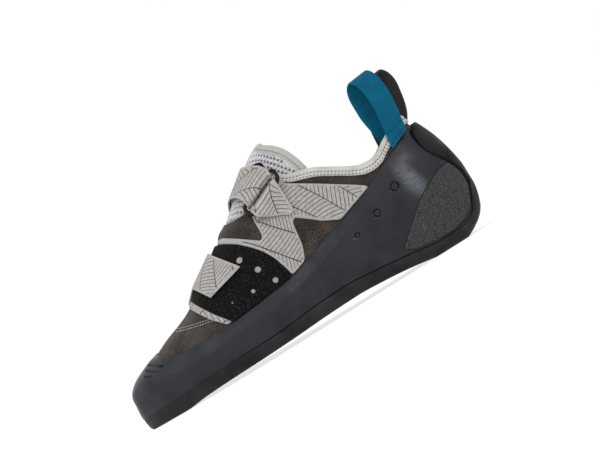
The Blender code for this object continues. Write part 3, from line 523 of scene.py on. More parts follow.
# Building pieces
SHARP = math.radians(50)
EDGE_ROUND = 1.2              # a shell's upper edge thins out over this depth
SKIVE_DEPTH = 9.0             # a skived edge thins out over this depth
PATCH_ROUND = 0.8
ACROSS = 11                   # points across a ribbon's face
EDGE_BEND = np.radians((50, 0, -50))   # points round its edge
SECOND_FACE = ACROSS + len(EDGE_BEND)  # first point of its second face
END_ROWS = (0.02, 0.08, 0.2, 0.4, 0.7)   # in ribbon thicknesses from its end
END_THIN = 0.03               # keeps a ribbon's end from closing to a line
RIBBON_STEP = 1.2
WIRE_SIDES = 14
THREAD_SIDES = 8
THREAD_ACROSS = (0.3, 1.0, 0.2)   # a way that no seam follows
THREAD_ROUNDS = (             # place along a stitch, and share of its radius there
    (-0.5, 0.1), (-0.44, 0.62), (-0.28, 0.93), (0.0, 1.0), (0.28, 0.93), (0.44, 0.62), (0.5, 0.1),
)


def piece(name, points, faces, finishes, nodes=(), flat=None, mark=None, face_finish=None):
    """One object from points in millimetres, riding on the shoe in place of the named solids."""
    mesh = bpy.data.meshes.new(name)
    mesh.from_pydata(np.asarray(points) * MM, [], [list(map(int, face)) for face in faces])
    for finish in finishes:
        mesh.materials.append(finish)
    if face_finish is not None:
        mesh.polygons.foreach_set("material_index", np.asarray(face_finish, np.int32))
    if flat is not None:
        mesh.attributes.new("flat", "FLOAT_VECTOR", "POINT").data.foreach_set("vector", np.ravel(flat))
    if mark is not None:
        mesh.attributes.new("mark", "FLOAT", "POINT").data.foreach_set("value", np.ravel(mark))
    form = bmesh.new()
    form.from_mesh(mesh)
    bmesh.ops.remove_doubles(form, verts=form.verts, dist=1e-6)
    bmesh.ops.dissolve_degenerate(form, edges=form.edges, dist=1e-7)
    bmesh.ops.recalc_face_normals(form, faces=form.faces)
    form.to_mesh(mesh)
    form.free()
    mesh.shade_smooth()
    mesh.set_sharp_from_angle(angle=SHARP)
    obj = bpy.data.objects.new(name, mesh)
    bpy.context.scene.collection.objects.link(obj)
    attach(obj, "root")
    if nodes:
        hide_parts(*nodes)
    return obj


def grid_faces(lines, length, offset=0, closed=True):
    """Quads of a grid of points that are listed line by line."""
    i = np.arange(lines if closed else lines - 1)[:, None]
    k = np.arange(length - 1)[None]
    a = (i * length + k).ravel()
    b = ((i + 1) % lines * length + k).ravel()
    return offset + np.stack([a, b, b + 1, a + 1], axis=1)


def columns_round(zones=()):
    """Angles round the shoe, closer together in the given zones (first station, last station, spacing)."""
    angles = [0.0]
    while angles[-1] < np.pi:
        station = station_of(angles[-1])
        spacing = min([gap for low, high, gap in zones if low <= station <= high], default=COLUMN_SPACING)
        span = (HEEL - TOE) / 2 * math.sin(angles[-1])
        angles.append(angles[-1] + min(POLE_STEP, spacing / max(span, 1.0)))
    angles[-1] = np.pi
    side = np.array(angles)
    return np.concatenate([side, 2 * np.pi - side[-2:0:-1]])


def wall_faces(count, height, low, open_edge):
    """Quads of a closed wall: its outer face, its inner face, its foot, and its rim where it is open."""
    other = count * height
    i = np.arange(count)
    j = (i + 1) % count
    foot_faces = np.stack([i * height + height - 1, j * height + height - 1,
                           other + j * low + low - 1, other + i * low + low - 1], axis=1)
    rim_faces = np.stack([i * height, j * height, other + j * low, other + i * low], axis=1)[open_edge]
    return grid_faces(count, height), grid_faces(count, low, other), foot_faces, rim_faces


def shell(name, line, lifts, columns, rows, relief, finishes, node, skive=0.0):
    """A wall round the shoe from the sole up to a side-view line. Its upper edge is rounded or skived."""
    angle = from_toe(columns)
    side = np.where(columns <= np.pi, OUTER, INNER)
    edge_level = level_at(columns, side_line(line, station_of(angle)))
    edge_way = np.where(edge_level > RIDGE_LEVEL, 0.0, way_at(angle, edge_level, side))
    foot_way = way_at(angle, np.zeros(len(columns)), side)
    near = np.repeat(np.array(EDGE_ROWS)[None], len(columns), axis=0)
    left = (foot_way - edge_way - EDGE_ROWS[-1])[:, None]
    depth = np.concatenate([near, EDGE_ROWS[-1] + left * np.linspace(0, 1, rows)[None, 1:]], axis=1)
    girth = side[:, None] * (edge_way[:, None] + depth)
    level = level_round(angle[:, None], girth)
    station = np.broadcast_to(station_of(angle)[:, None], girth.shape)
    edge = np.stack([station_of(angle), side * edge_way], axis=1)[edge_way > 0]
    places = np.stack([station, girth], axis=-1).reshape(-1, 2)
    rim = path_distance(places, edge, closed=True).reshape(girth.shape)
    raised, mark = relief(station, girth)
    thick = lifts[1] - lifts[0] - skive * (1 - smooth(0, SKIVE_DEPTH, rim))
    lift = lifts[0] + thick * rounded(rim / EDGE_ROUND) + raised
    height = depth.shape[1]
    coarse = np.array(sorted({0, height - 1, *range(len(EDGE_ROWS) - 1, height, INNER_ROW_STRIDE)}))
    foot_z = section(angle, "sole_z") + FOOT_GAP
    outer = skin(columns[:, None], level, lift)
    outer[:, -1] = foot(columns, lift[:, -1], foot_z)
    inner = skin(columns[:, None], level[:, coarse], lifts[0])
    inner[:, -1] = foot(columns, lifts[0], foot_z)
    open_edge = (edge_way > 0) | (np.roll(edge_way, -1) > 0)
    faces = wall_faces(len(columns), height, len(coarse), open_edge)
    face_finish = np.repeat((0, len(finishes) - 1, 0, 0), [len(part) for part in faces])
    flat = np.stack([station, girth, rim], axis=-1)
    flat = np.concatenate([flat.reshape(-1, 3), flat[:, coarse].reshape(-1, 3)])
    mark = np.concatenate([mark.ravel(), np.zeros(inner.size // 3)])
    points = np.concatenate([outer.reshape(-1, 3), inner.reshape(-1, 3)])
    return piece(name, points, np.concatenate(faces), finishes, (node,), flat, mark, face_finish)


def resampled(points, step, closed=False):
    """Points evenly spaced along a path."""
    points = np.asarray(points, float)
    if closed:
        points = np.concatenate([points, points[:1]])
    run = lengths_along(points)
    kept = np.concatenate([[True], np.diff(run) > 1e-6])
    count = max(2, round(run[-1] / step) + 1)
    at = np.linspace(0, run[-1], count)
    result = np.stack([np.interp(at, run[kept], column) for column in points[kept].T], axis=1)
    return result[:-1] if closed else result


def flat_path(path):
    """A path of (station, height, side) as closely spaced flat places."""
    places = []
    for start, end in zip(path[:-1], path[1:]):
        first, last = flat_place(*start), flat_place(*end)
        share = np.linspace(0, 1, PATH_POINTS)[:, None]
        if start[2] == end[2]:
            mixed = np.array(start[:2]) + (np.array(end[:2]) - np.array(start[:2])) * share
            places.append(flat_place(mixed[:, 0], mixed[:, 1], start[2]))
        else:
            places.append(first + (last - first) * share)
    return resampled(np.concatenate(places), OUTLINE_STEP)


def inward(loop):
    """Unit steps into a counter-clockwise loop."""
    tangent = np.roll(loop, -1, axis=0) - np.roll(loop, 1, axis=0)
    return unit(np.stack([-tangent[:, 1], tangent[:, 0]], axis=1))


def outline_loop(outline, grow=0.0, softened=2):
    """A closed outline as flat places, counter-clockwise, its corners softened, and grown outwards."""
    loop = resampled(flat_path(outline + outline[:1])[:-1], OUTLINE_STEP, closed=True)
    for _ in range(softened):
        loop = (np.roll(loop, 1, axis=0) + 2 * loop + np.roll(loop, -1, axis=0)) / 4
    x, y = loop.T
    if np.sum(x * np.roll(y, -1) - y * np.roll(x, -1)) < 0:
        loop = loop[::-1]
    return loop - grow * inward(loop)


def evenness(places):
    """For each flat place, the matrix that turns a step between flat places into millimetres on the skin."""
    sides = []
    for way in ((EVEN_STEP, 0.0), (0.0, EVEN_STEP)):
        ends = [on_skin(*(places + sign * np.array(way)).T, 0.0) for sign in (1, -1)]
        sides.append((ends[0] - ends[1]) / (2 * EVEN_STEP))
    across = np.stack(sides, axis=2)
    squares = np.swapaxes(across, 1, 2) @ across
    return np.swapaxes(np.linalg.cholesky(squares), 1, 2)


def from_dents(flat, dents):
    """Distance of flat places from the nearest dent, in the dent's sizes."""
    away = np.full(len(flat), np.inf)
    for centre, size, even in dents:
        away = np.minimum(away, np.hypot(*(even @ (flat - centre).T)) / size)
    return away


def round_dents(centres, sizes):
    """Dents as centre, size and evenness."""
    return list(zip(centres, sizes, evenness(np.asarray(centres))))


def hex_grid(low, high, spacing):
    """Flat places of an even triangular grid that covers a box."""
    rows = np.arange(low[1], high[1], spacing * math.sqrt(3) / 2)
    places = []
    for index, y in enumerate(rows):
        x = np.arange(low[0] + (index % 2) * spacing / 2, high[0], spacing)
        places.append(np.stack([x, np.full(len(x), y)], axis=1))
    return np.concatenate(places)


def patch_places(loop, spacing, dents, dent_radii):
    """Flat places for a patch: its outline, rings just inside it, dents, and a grid between them."""
    places = [loop]
    for offset in PATCH_RINGS[1:]:
        ring = loop + inward(loop) * offset
        places.append(ring[path_distance(ring, loop, True) > offset * RING_KEPT])
    grid = hex_grid(loop.min(axis=0), loop.max(axis=0), spacing)
    grid = grid[inside(grid, loop)]
    grid = grid[path_distance(grid, loop, True) > PATCH_RINGS[-1] + spacing * GRID_GAP]
    for centre, size, even in dents:
        turn = np.linspace(0, 2 * np.pi, max(DENT_POINTS[0], round(size * DENT_POINTS[1])), endpoint=False)
        spokes = np.linalg.solve(even, np.stack([np.cos(turn), np.sin(turn)])).T
        places.append(centre[None])
        places += [centre + size * share * spokes for share in dent_radii]
    if dents:
        grid = grid[from_dents(grid, dents) > dent_radii[-1] + DENT_GAP]
    return np.concatenate(places + [grid])


def patch(name, loop, lifts, spacing, finishes, node, relief=None, dents=(), dent_radii=()):
    """A layer on the skin inside a loop, with a rounded rim. Relief gives height and mark at flat places."""
    places = patch_places(loop, spacing, dents, dent_radii)
    cut = delaunay_2d_cdt([tuple(place) for place in places], [], [list(range(len(loop)))], 1, 1e-6)
    flat = np.array([tuple(corner) for corner in cut[0]])
    rim = path_distance(flat, loop, True)
    lift = lifts[0] + (lifts[1] - lifts[0]) * rounded(rim / PATCH_ROUND)
    mark = np.zeros(len(flat))
    if relief:
        height, mark = relief(flat)
        lift = lift + height
    count = len(flat)
    points = [on_skin(flat[:, 0], flat[:, 1], height) for height in (lift, np.full(count, lifts[0]))]
    faces = [list(face) for face in cut[2]]
    faces += [[count + index for index in reversed(face)] for face in faces]
    flat = np.concatenate([flat, rim[:, None]], axis=1)
    return piece(name, np.concatenate(points), faces, finishes, (node,),
                 np.concatenate([flat, flat]), np.concatenate([mark, np.zeros(count)]))


def ribbon_section():
    """Points round a ribbon: share of its flat face, bulge past it at the edges, side of the thickness."""
    face = np.linspace(-1, 1, ACROSS)
    flat, edge = np.zeros(ACROSS), np.ones(len(EDGE_BEND))
    share = np.concatenate([face, edge, -face, -edge])
    bulge = np.concatenate([flat, np.cos(EDGE_BEND), flat, -np.cos(EDGE_BEND)])
    side = np.concatenate([flat + 1, np.sin(EDGE_BEND), flat - 1, -np.sin(EDGE_BEND)])
    return share, bulge, side


def ribbon_rows(length, thick):
    """Lengths along a ribbon, closer at its ends, and how much of the thickness it has there."""
    ends = np.array(END_ROWS) * thick
    middle = np.linspace(thick, length - thick, max(3, round(length / RIBBON_STEP)))
    at = np.concatenate([[0.0], ends, middle, length - ends[::-1], [length]])
    from_end = np.minimum(at, length - at) / (thick / 2)
    return at, rounded(np.maximum(from_end, END_THIN))


def band_faces(rings, around, closed=False):
    """Quads between neighbouring rings of points, ring by ring."""
    faces = []
    for i in range(rings if closed else rings - 1):
        j = (i + 1) % rings
        for k in range(around):
            n = (k + 1) % around
            faces.append((i * around + k, i * around + n, j * around + n, j * around + k))
    return faces


def ribbon(name, grid, flat, finishes, nodes, hook=1, hook_row=0):
    """A closed ribbon from a grid of points. Its face on the hook side has the last finish from a row on."""
    rows, around = grid.shape[:2]
    first_hook = 0 if hook == 1 else SECOND_FACE
    faces = band_faces(rows, around)
    faces += [range(start, start + around) for start in (0, (rows - 1) * around)]
    face_finish = np.zeros(len(faces), int)
    on_hook = face_finish[:-2].reshape(rows - 1, around)
    on_hook[hook_row:, first_hook:first_hook + ACROSS - 1] = len(finishes) - 1
    points, places = grid.reshape(-1, 3), flat.reshape(-1, 3)
    return piece(name, points, faces, finishes, nodes, places, face_finish=face_finish)


def strap(name, route, finishes, node, hook=1, hook_from=0.0):
    """A strap over the skin. Route rows: way round from the ridge, lift, front and rear station, slant."""
    route = np.asarray(route, float)
    run = lengths_along(route[:, :2])
    at, fullness = ribbon_rows(run[-1], STRAP_THICK)
    girth, lift, front, rear, slant = (through(run, column, at) for column in route.T)
    travel = unit(np.stack([np.gradient(girth, at), np.gradient(lift, at)], axis=1)).T
    share, bulge, side = ribbon_section()
    half = ((rear - front) / 2)[:, None]
    across = share * (half - STRAP_THICK / 2) + bulge * STRAP_THICK / 2
    offset = side * (STRAP_THICK / 2 * fullness)[:, None]
    way = girth[:, None] - offset * travel[1][:, None] + slant[:, None] * across / (2 * half)
    station = ((front + rear) / 2)[:, None] + across
    grid = on_skin(station, way, lift[:, None] + offset * travel[0][:, None])
    rim = np.minimum(half - np.abs(across), np.minimum(at, run[-1] - at)[:, None])
    flat = np.stack(np.broadcast_arrays(at[:, None], across, rim), axis=-1)
    return ribbon(name, grid, flat, finishes, (node,), hook, np.searchsorted(at, hook_from))


def fold(side, towards):
    """Rows of a strap that turns round a bar of a side's ring, coming in below it from the way 'towards'."""
    bar = RINGS[side][1] + towards * RING_HALF_HEIGHT
    rows = []
    for turn in np.linspace(-np.pi / 2, np.pi / 2, FOLD_ROWS):
        way = bar - towards * FOLD_RADIUS * math.cos(turn)
        rows.append((way, RING_LIFT + FOLD_RADIUS * math.sin(turn), *strap_edges(side)))
    return rows


def strap_edges(side):
    """Front and rear station and slant of a strap where it turns round a side's ring."""
    station, _, turn = RINGS[side]
    return station - STRAP_HALF_WIDTH, station + STRAP_HALF_WIDTH, turn * 2 * STRAP_HALF_WIDTH


def keeper_route(side):
    """A short strap that holds a ring: its end below, round the ring's bar, and down on the overlay."""
    girth = RINGS[side][1]
    edges = strap_edges(side)
    route = [(girth + side * KEEPER_START, STRAP_LOW, *edges)]
    route += fold(side, side)
    front, rear, slant = edges
    for way, lift, back in KEEPER_END:
        kept = 1 - back / (rear - front)
        middle = girth + side * way + slant * (1 - kept) / 2
        route.append((middle, lift, front + back, rear, slant * kept))
    return route


def tube(name, centres, normals, radius, finishes, node):
    """A closed ring of round wire."""
    travel = unit(np.roll(centres, -1, axis=0) - np.roll(centres, 1, axis=0))
    second = unit(np.cross(travel, normals))
    first = np.cross(second, travel)
    turn = np.linspace(0, 2 * np.pi, WIRE_SIDES, endpoint=False)[None, :, None]
    grid = centres[:, None] + radius * (np.cos(turn) * first[:, None] + np.sin(turn) * second[:, None])
    faces = band_faces(len(centres), WIRE_SIDES, closed=True)
    return piece(name, grid.reshape(-1, 3), faces, finishes, (node,))


def stitches(name, lines, size, finish):
    """Short round threads along lines of points, of a size (pitch, length, radius), joined into one mesh."""
    pitch, length, radius = size
    along, fullness = np.array(THREAD_ROUNDS).T
    turn = np.linspace(0, 2 * np.pi, THREAD_SIDES, endpoint=False)
    points = []
    for line in lines:
        line = resampled(line, pitch)
        centres = (line[1:] + line[:-1]) / 2
        travel = unit(np.diff(line, axis=0))
        first = unit(np.cross(travel, THREAD_ACROSS))
        second = np.cross(travel, first)
        spoke = first[:, None] * np.cos(turn)[None, :, None] + second[:, None] * np.sin(turn)[None, :, None]
        rings = centres[:, None] + travel[:, None] * (along * length)[None, :, None]
        rounds = rings[:, :, None] + spoke[:, None] * (fullness * radius)[None, :, None, None]
        points.append(rounds.reshape(-1, 3))
    points = np.concatenate(points)
    each = len(THREAD_ROUNDS) * THREAD_SIDES
    one = band_faces(len(THREAD_ROUNDS), THREAD_SIDES)
    one += [range(THREAD_SIDES), range(each - THREAD_SIDES, each)]
    faces = []
    for start in range(0, len(points), each):
        faces += [[start + index for index in face] for face in one]
    return piece(name, points, faces, (finish,))


# Materials
def tint(red, green, blue):
    """A display colour (0 to 255) as the shader's linear colour."""
    linear = []
    for value in (red, green, blue):
        share = value / 255
        linear.append(share / 12.92 if share <= 0.04045 else ((share + 0.055) / 1.055) ** 2.4)
    return (*linear, 1.0)


class Finish:
    """A procedural material, made by short calls. Lengths in it are millimetres."""

    def __init__(self, name, roughness=0.8, sheen=0.0, specular=0.5):
        self.material = bpy.data.materials.new(name)
        self.material.use_nodes = True
        self.nodes = self.material.node_tree.nodes
        self.shader = self.nodes["Principled BSDF"]
        settings = {"Roughness": roughness, "Sheen Weight": sheen, "Specular IOR Level": specular}
        for socket, value in settings.items():
            self.put(self.shader.inputs[socket], value)
        place = self.nodes.new("ShaderNodeTexCoord").outputs["Object"]
        self.place = self.node("VectorMath", {0: place, "Scale": 1 / MM}, operation="SCALE")

    def put(self, socket, value):
        """Sets a socket, or links another one to it."""
        if isinstance(value, bpy.types.NodeSocket):
            self.material.node_tree.links.new(value, socket)
        else:
            socket.default_value = value

    def node(self, kind, inputs, output=0, **settings):
        """Adds a shader node with the given settings and inputs, and gives one of its outputs."""
        made = self.nodes.new("ShaderNode" + kind)
        for setting, value in settings.items():
            setattr(made, setting, value)
        for socket, value in inputs.items():
            self.put(made.inputs[socket], value)
        return made.outputs[output]

    def math(self, operation, *values):
        return self.node("Math", dict(enumerate(values)), operation=operation)

    def noise(self, scale, detail=2.0, stretch=(1.0, 1.0, 1.0)):
        """Noise with features about 1 / scale millimetres apart."""
        where = self.node("VectorMath", {0: self.place, 1: stretch}, operation="MULTIPLY")
        return self.node("TexNoise", {"Vector": where, "Scale": scale, "Detail": detail}, "Fac")

    def step(self, value, low, high, first=0.0, last=1.0):
        """A soft step from first to last as the value goes from low to high."""
        inputs = dict(enumerate((value, low, high, first, last)))
        return self.node("MapRange", inputs, interpolation_type="SMOOTHSTEP")

    def mix(self, share, first, second):
        return self.node("Mix", {0: share, 6: first, 7: second}, 2, data_type="RGBA")

    def attribute(self, name, output):
        return self.node("Attribute", {}, output, attribute_name=name)

    def parts(self, vector):
        made = self.nodes.new("ShaderNodeSeparateXYZ")
        self.put(made.inputs[0], vector)
        return made.outputs

    def bump(self, height, depth):
        """Adds relief of a depth in millimetres."""
        normal = self.shader.inputs["Normal"]
        inputs = {"Distance": depth * MM, "Height": height}
        if normal.is_linked:
            inputs["Normal"] = normal.links[0].from_socket
        self.put(normal, self.node("Bump", inputs))

    def colour(self, value):
        self.put(self.shader.inputs["Base Color"], value)

    def gloss(self, value):
        self.put(self.shader.inputs["Roughness"], value)


def suede(name, dark, light):
    """Brushed leather: mottled nap over broad shading."""
    finish = Finish(name, 0.95, sheen=0.1, specular=0.12)
    fine = finish.noise(1.3, 4.0)
    broad = finish.noise(0.06, 3.0)
    share = finish.math("ADD", finish.step(fine, 0.3, 0.7), finish.step(broad, 0.35, 0.7, -0.25, 0.25))
    finish.colour(finish.mix(share, dark, light))
    finish.bump(fine, 0.28)
    finish.bump(finish.noise(0.4, 2.0), 0.35)
    return finish.material


def rubber(name, dark, light, groove, other, roughness, specular, scuff):
    """Smooth rubber with scuff lines and a dull bloom. High marks paint shade into grooves, and low marks
    bring in another colour: a painted sheen on the rand, the rand's rubber at the sole's toe.
    """
    finish = Finish(name, roughness, specular=specular)
    lines = finish.noise(1.3, 4.0, (0.12, 1.0, 1.0))
    clouds = finish.noise(0.07, 5.0)
    scuffs = finish.step(lines, 0.55, 0.8, 0.0, scuff)
    share = finish.math("ADD", finish.step(clouds, 0.3, 0.7, 0.0, 0.8), scuffs)
    body = finish.mix(share, dark, light)
    mark = finish.attribute("mark", "Fac")
    # Low marks bring in the other colour, in streaks: a painted sheen on the rand, the rand's own rubber
    # where it wraps the sole's toe.
    streaks = finish.step(lines, 0.3, 0.65, 0.45, 1.0)
    low = finish.math("MULTIPLY", finish.step(mark, -0.9, -0.1, 1.0, 0.0), streaks)
    body = finish.mix(low, body, other)
    # High marks paint shade: the groove colour darkens grooves and dimple rims.
    finish.colour(finish.mix(finish.step(mark, 0.2, 0.6), body, groove))
    finish.gloss(finish.step(clouds, 0.3, 0.7, roughness + 0.1, roughness - 0.1))
    finish.bump(lines, 0.035)
    finish.bump(finish.noise(3.0, 2.0), 0.03)
    return finish.material


def speckled(name, dark, light, scale, depth):
    """A surface of small dark and light grains."""
    finish = Finish(name, 0.85, specular=0.3)
    grain = finish.noise(scale, 3.0)
    finish.colour(finish.mix(finish.step(grain, 0.42, 0.66), dark, light))
    finish.bump(grain, depth)
    return finish.material


def pressed_grain(name, dark, light):
    """Rubber pressed with fine dark and light grains, dark along its rim."""
    finish = Finish(name, 0.8, specular=0.2)
    grain = finish.noise(1.6, 3.0)
    body = finish.mix(finish.step(grain, 0.34, 0.68), dark, light)
    rim = finish.parts(finish.attribute("flat", "Vector"))[2]
    finish.colour(finish.mix(finish.step(rim, 0.15, 0.45), dark, body))
    finish.bump(grain, 0.35)
    return finish.material


def weave(finish, ribs, crossing, depth):
    """Relief of woven thread over the flat places: ribs across the piece, and a finer crossing thread."""
    along, across, _ = finish.parts(finish.attribute("flat", "Vector"))
    first = finish.math("SINE", finish.math("MULTIPLY", along, 2 * math.pi / ribs))
    second = finish.math("SINE", finish.math("MULTIPLY", across, 2 * math.pi / crossing))
    thread = finish.math("ADD", first, finish.math("MULTIPLY", first, second))
    finish.bump(thread, depth)
    return thread


def cloth(name, dark, light, ribs, crossing, depth, cloudiness=0.55, sheen=0.1, roughness=0.8, specular=0.2):
    """Plain woven cloth or webbing."""
    finish = Finish(name, roughness, sheen=sheen, specular=specular)
    thread = weave(finish, ribs, crossing, depth)
    cloudy = finish.step(finish.noise(0.12, 4.0), 0.3, 0.7, 0.0, cloudiness)
    share = finish.math("ADD", finish.step(thread, -1.5, 1.5, 0.0, 1 - cloudiness), cloudy)
    finish.colour(finish.mix(share, dark, light))
    finish.bump(finish.noise(2.5, 2.0), 0.05)
    return finish.material


PRINT_BAND = 12.0             # width of the herringbone's bands
PRINT_PITCH = 3.3
PRINT_LINE = 0.2
PRINT_FADE = 0.4              # half width at which a line has faded out
PRINT_EDGE = 0.2


def hatch(finish, turn, slope, border):
    """How much of the printed herringbone line there is at a flat place."""
    along, across, rim = finish.parts(finish.attribute("flat", "Vector"))
    cos, sin = math.cos(turn), math.sin(turn)
    over = finish.math("ADD", finish.math("MULTIPLY", along, cos), finish.math("MULTIPLY", across, sin))
    side = finish.math("SUBTRACT", finish.math("MULTIPLY", across, cos), finish.math("MULTIPLY", along, sin))
    band = finish.math("DIVIDE", over, PRINT_BAND)
    place = finish.math("SUBTRACT", finish.math("FRACT", band), 0.5)
    odd = finish.math("FRACT", finish.math("MULTIPLY", finish.math("FLOOR", band), 0.5))
    sign = finish.math("MULTIPLY_ADD", odd, 4.0, -1.0)
    way = finish.math("MULTIPLY", sign, slope * PRINT_BAND)
    slanted = finish.math("MULTIPLY_ADD", place, way, side)
    line = finish.math("SUBTRACT", finish.math("FRACT", finish.math("DIVIDE", slanted, PRINT_PITCH)), 0.5)
    spine = finish.math("SUBTRACT", 0.5, finish.math("ABSOLUTE", place))
    strokes = []
    for away, span in ((finish.math("ABSOLUTE", line), PRINT_PITCH), (spine, PRINT_BAND)):
        strokes.append(finish.step(away, PRINT_LINE / span, PRINT_FADE / span, 1.0, 0.0))
    lines = finish.math("MAXIMUM", *strokes)
    return finish.math("MULTIPLY", lines, finish.step(rim, border, border + PRINT_EDGE))


def printed(name, ground, shade, ink, turn, slope, border):
    """Light cloth with a thin printed herringbone inside a plain border."""
    finish = Finish(name, 0.75, sheen=0.08, specular=0.3)
    worn = finish.step(finish.noise(1.2, 3.0), 0.25, 0.5, 0.55, 1.0)
    lines = finish.math("MULTIPLY", hatch(finish, turn, slope, border), worn)
    cloudy = finish.mix(finish.step(finish.noise(0.5, 4.0), 0.3, 0.7), ground, shade)
    finish.colour(finish.mix(lines, cloudy, ink))
    weave(finish, 0.7, 0.7, 0.04)
    finish.bump(finish.noise(2.2, 3.0), 0.12)
    return finish.material


def mesh_cloth(name, ground, hole, trim):
    """Spacer mesh: light ground, dark holes, and the trim along its edge, as the marks say."""
    finish = Finish(name, 0.85, sheen=0.1, specular=0.25)
    mark = finish.attribute("mark", "Fac")
    cloudy = finish.mix(finish.step(finish.noise(0.9, 3.0), 0.35, 0.65), ground, trim)
    body = finish.mix(finish.step(mark, 0.25, 0.8), cloudy, hole)
    finish.colour(finish.mix(finish.step(mark, -0.6, -0.3, 1.0, 0.0), body, trim))
    weave(finish, 0.55, 0.55, 0.04)
    finish.bump(finish.noise(2.2, 2.0), 0.08)
    return finish.material


def loop_pile(name, dark, light, dot):
    """Loop-faced fabric, with the fabric below showing at its vents."""
    finish = Finish(name, 0.95, sheen=0.0, specular=0.12)
    pile = finish.noise(1.7, 3.0)
    body = finish.mix(finish.step(pile, 0.56, 0.76), dark, light)
    finish.colour(finish.mix(finish.step(finish.attribute("mark", "Fac"), 0.4, 0.6), body, dot))
    finish.bump(pile, 0.5)
    return finish.material


def wire(name, colour, worn):
    """Satin black wire, a little worn."""
    finish = Finish(name, 0.25, specular=0.18)
    wear_and_sheen = finish.noise(0.5, 4.0)
    finish.colour(finish.mix(finish.step(wear_and_sheen, 0.55, 0.75), colour, worn))
    finish.gloss(finish.step(wear_and_sheen, 0.3, 0.7, 0.2, 0.35))
    finish.bump(finish.noise(2.0, 2.0), 0.02)
    return finish.material


SUEDE = suede("suede", tint(34, 29, 27), tint(70, 63, 60))
LINING = suede("lining", tint(70, 66, 62), tint(104, 99, 94))
RAND_LIGHT = tint(30, 34, 42)
# The rand's groove colour, tint(4, 5, 7), is painted shade, and its other colour, tint(92, 95, 102), is a
# painted sheen at the heel.
RAND = rubber("rand_rubber", tint(14, 17, 22), RAND_LIGHT, tint(4, 5, 7), tint(92, 95, 102),
              roughness=0.4, specular=0.28, scuff=0.3)
SOLE = rubber("sole_rubber", tint(18, 19, 18), tint(34, 35, 34), tint(6, 6, 6), RAND_LIGHT,
              roughness=0.6, specular=0.18, scuff=0.25)
# A darker copy of the sole's rubber: painted shade on the heel strip, which faces up and back and catches
# more light.
SHADED_STRIP_RUBBER = rubber("heel_strip_rubber", tint(10, 11, 11), tint(24, 25, 25), tint(4, 4, 4), tint(24, 25, 25),
               roughness=0.62, specular=0.12, scuff=0.25)
HEEL_GRAIN = pressed_grain("heel_texture", tint(27, 27, 27), tint(72, 71, 71))
BOARD = speckled("insole_board", tint(84, 80, 76), tint(120, 115, 109), scale=0.9, depth=0.12)
TRIM = cloth("trim_fabric", tint(164, 162, 158), tint(196, 194, 190), ribs=0.8, crossing=0.8, depth=0.05)
MESH = mesh_cloth("tongue_mesh", tint(208, 209, 215), tint(116, 119, 132), tint(170, 168, 164))
INK = tint(52, 48, 48)
PRINT = printed("overlay_fabric", tint(166, 163, 160), tint(146, 143, 140), INK,
                turn=0.5, slope=0.8, border=1.3)
STRAP_CLOTH = (tint(170, 166, 162), tint(150, 146, 142), INK)
STRAP_PRINT = printed("strap_fabric", *STRAP_CLOTH, turn=0.95, slope=0.75, border=1.3)
TRIM_PRINT = printed("strap_trim_fabric", *STRAP_CLOTH, turn=0.95, slope=0.75, border=0.3)
HOOK = loop_pile("hook_fabric", tint(14, 14, 15), tint(46, 46, 46), tint(14, 14, 15))
LOOP_PILE = loop_pile("loop_fabric", tint(8, 8, 9), tint(72, 74, 77), tint(150, 147, 143))
WEBBING = {"ribs": 0.9, "crossing": 1.1, "cloudiness": 0.3, "sheen": 0.0}
TEAL = cloth("teal_webbing", tint(0, 64, 87), tint(0, 98, 130), depth=0.07, roughness=0.6, specular=0.08,
             **WEBBING)
BLACK = cloth("black_webbing", tint(34, 33, 33), tint(60, 59, 58), depth=0.09, **WEBBING)
RING = wire("black_ring", tint(5, 5, 6), tint(16, 16, 17))
GRAIN = {"scale": 2.5, "depth": 0.08}
THREAD = speckled("thread", tint(182, 180, 176), tint(220, 219, 216), **GRAIN)
DULL_THREAD = speckled("dull_thread", tint(136, 130, 126), tint(184, 178, 174), **GRAIN)
DARK_THREAD = speckled("dark_thread", tint(40, 37, 36), tint(70, 66, 64), **GRAIN)
TEAL_THREAD = speckled("teal_thread", tint(0, 30, 44), tint(0, 50, 70), **GRAIN)


# Pieces
def both_sides(path):
    return [flat_path(on_side(path, side)) for side in SIDES]


def creases(station, girth):
    """Soft ridges and troughs of the suede."""
    places = np.stack([station.ravel(), girth.ravel()], axis=1)
    height = np.zeros(len(places))
    for path, rise, half in CREASES:
        for line in both_sides(path):
            height += rise * np.exp(-(path_distance(places, line) / half) ** 2)
    height = height.reshape(station.shape)
    return height, np.maximum(-height, 0)


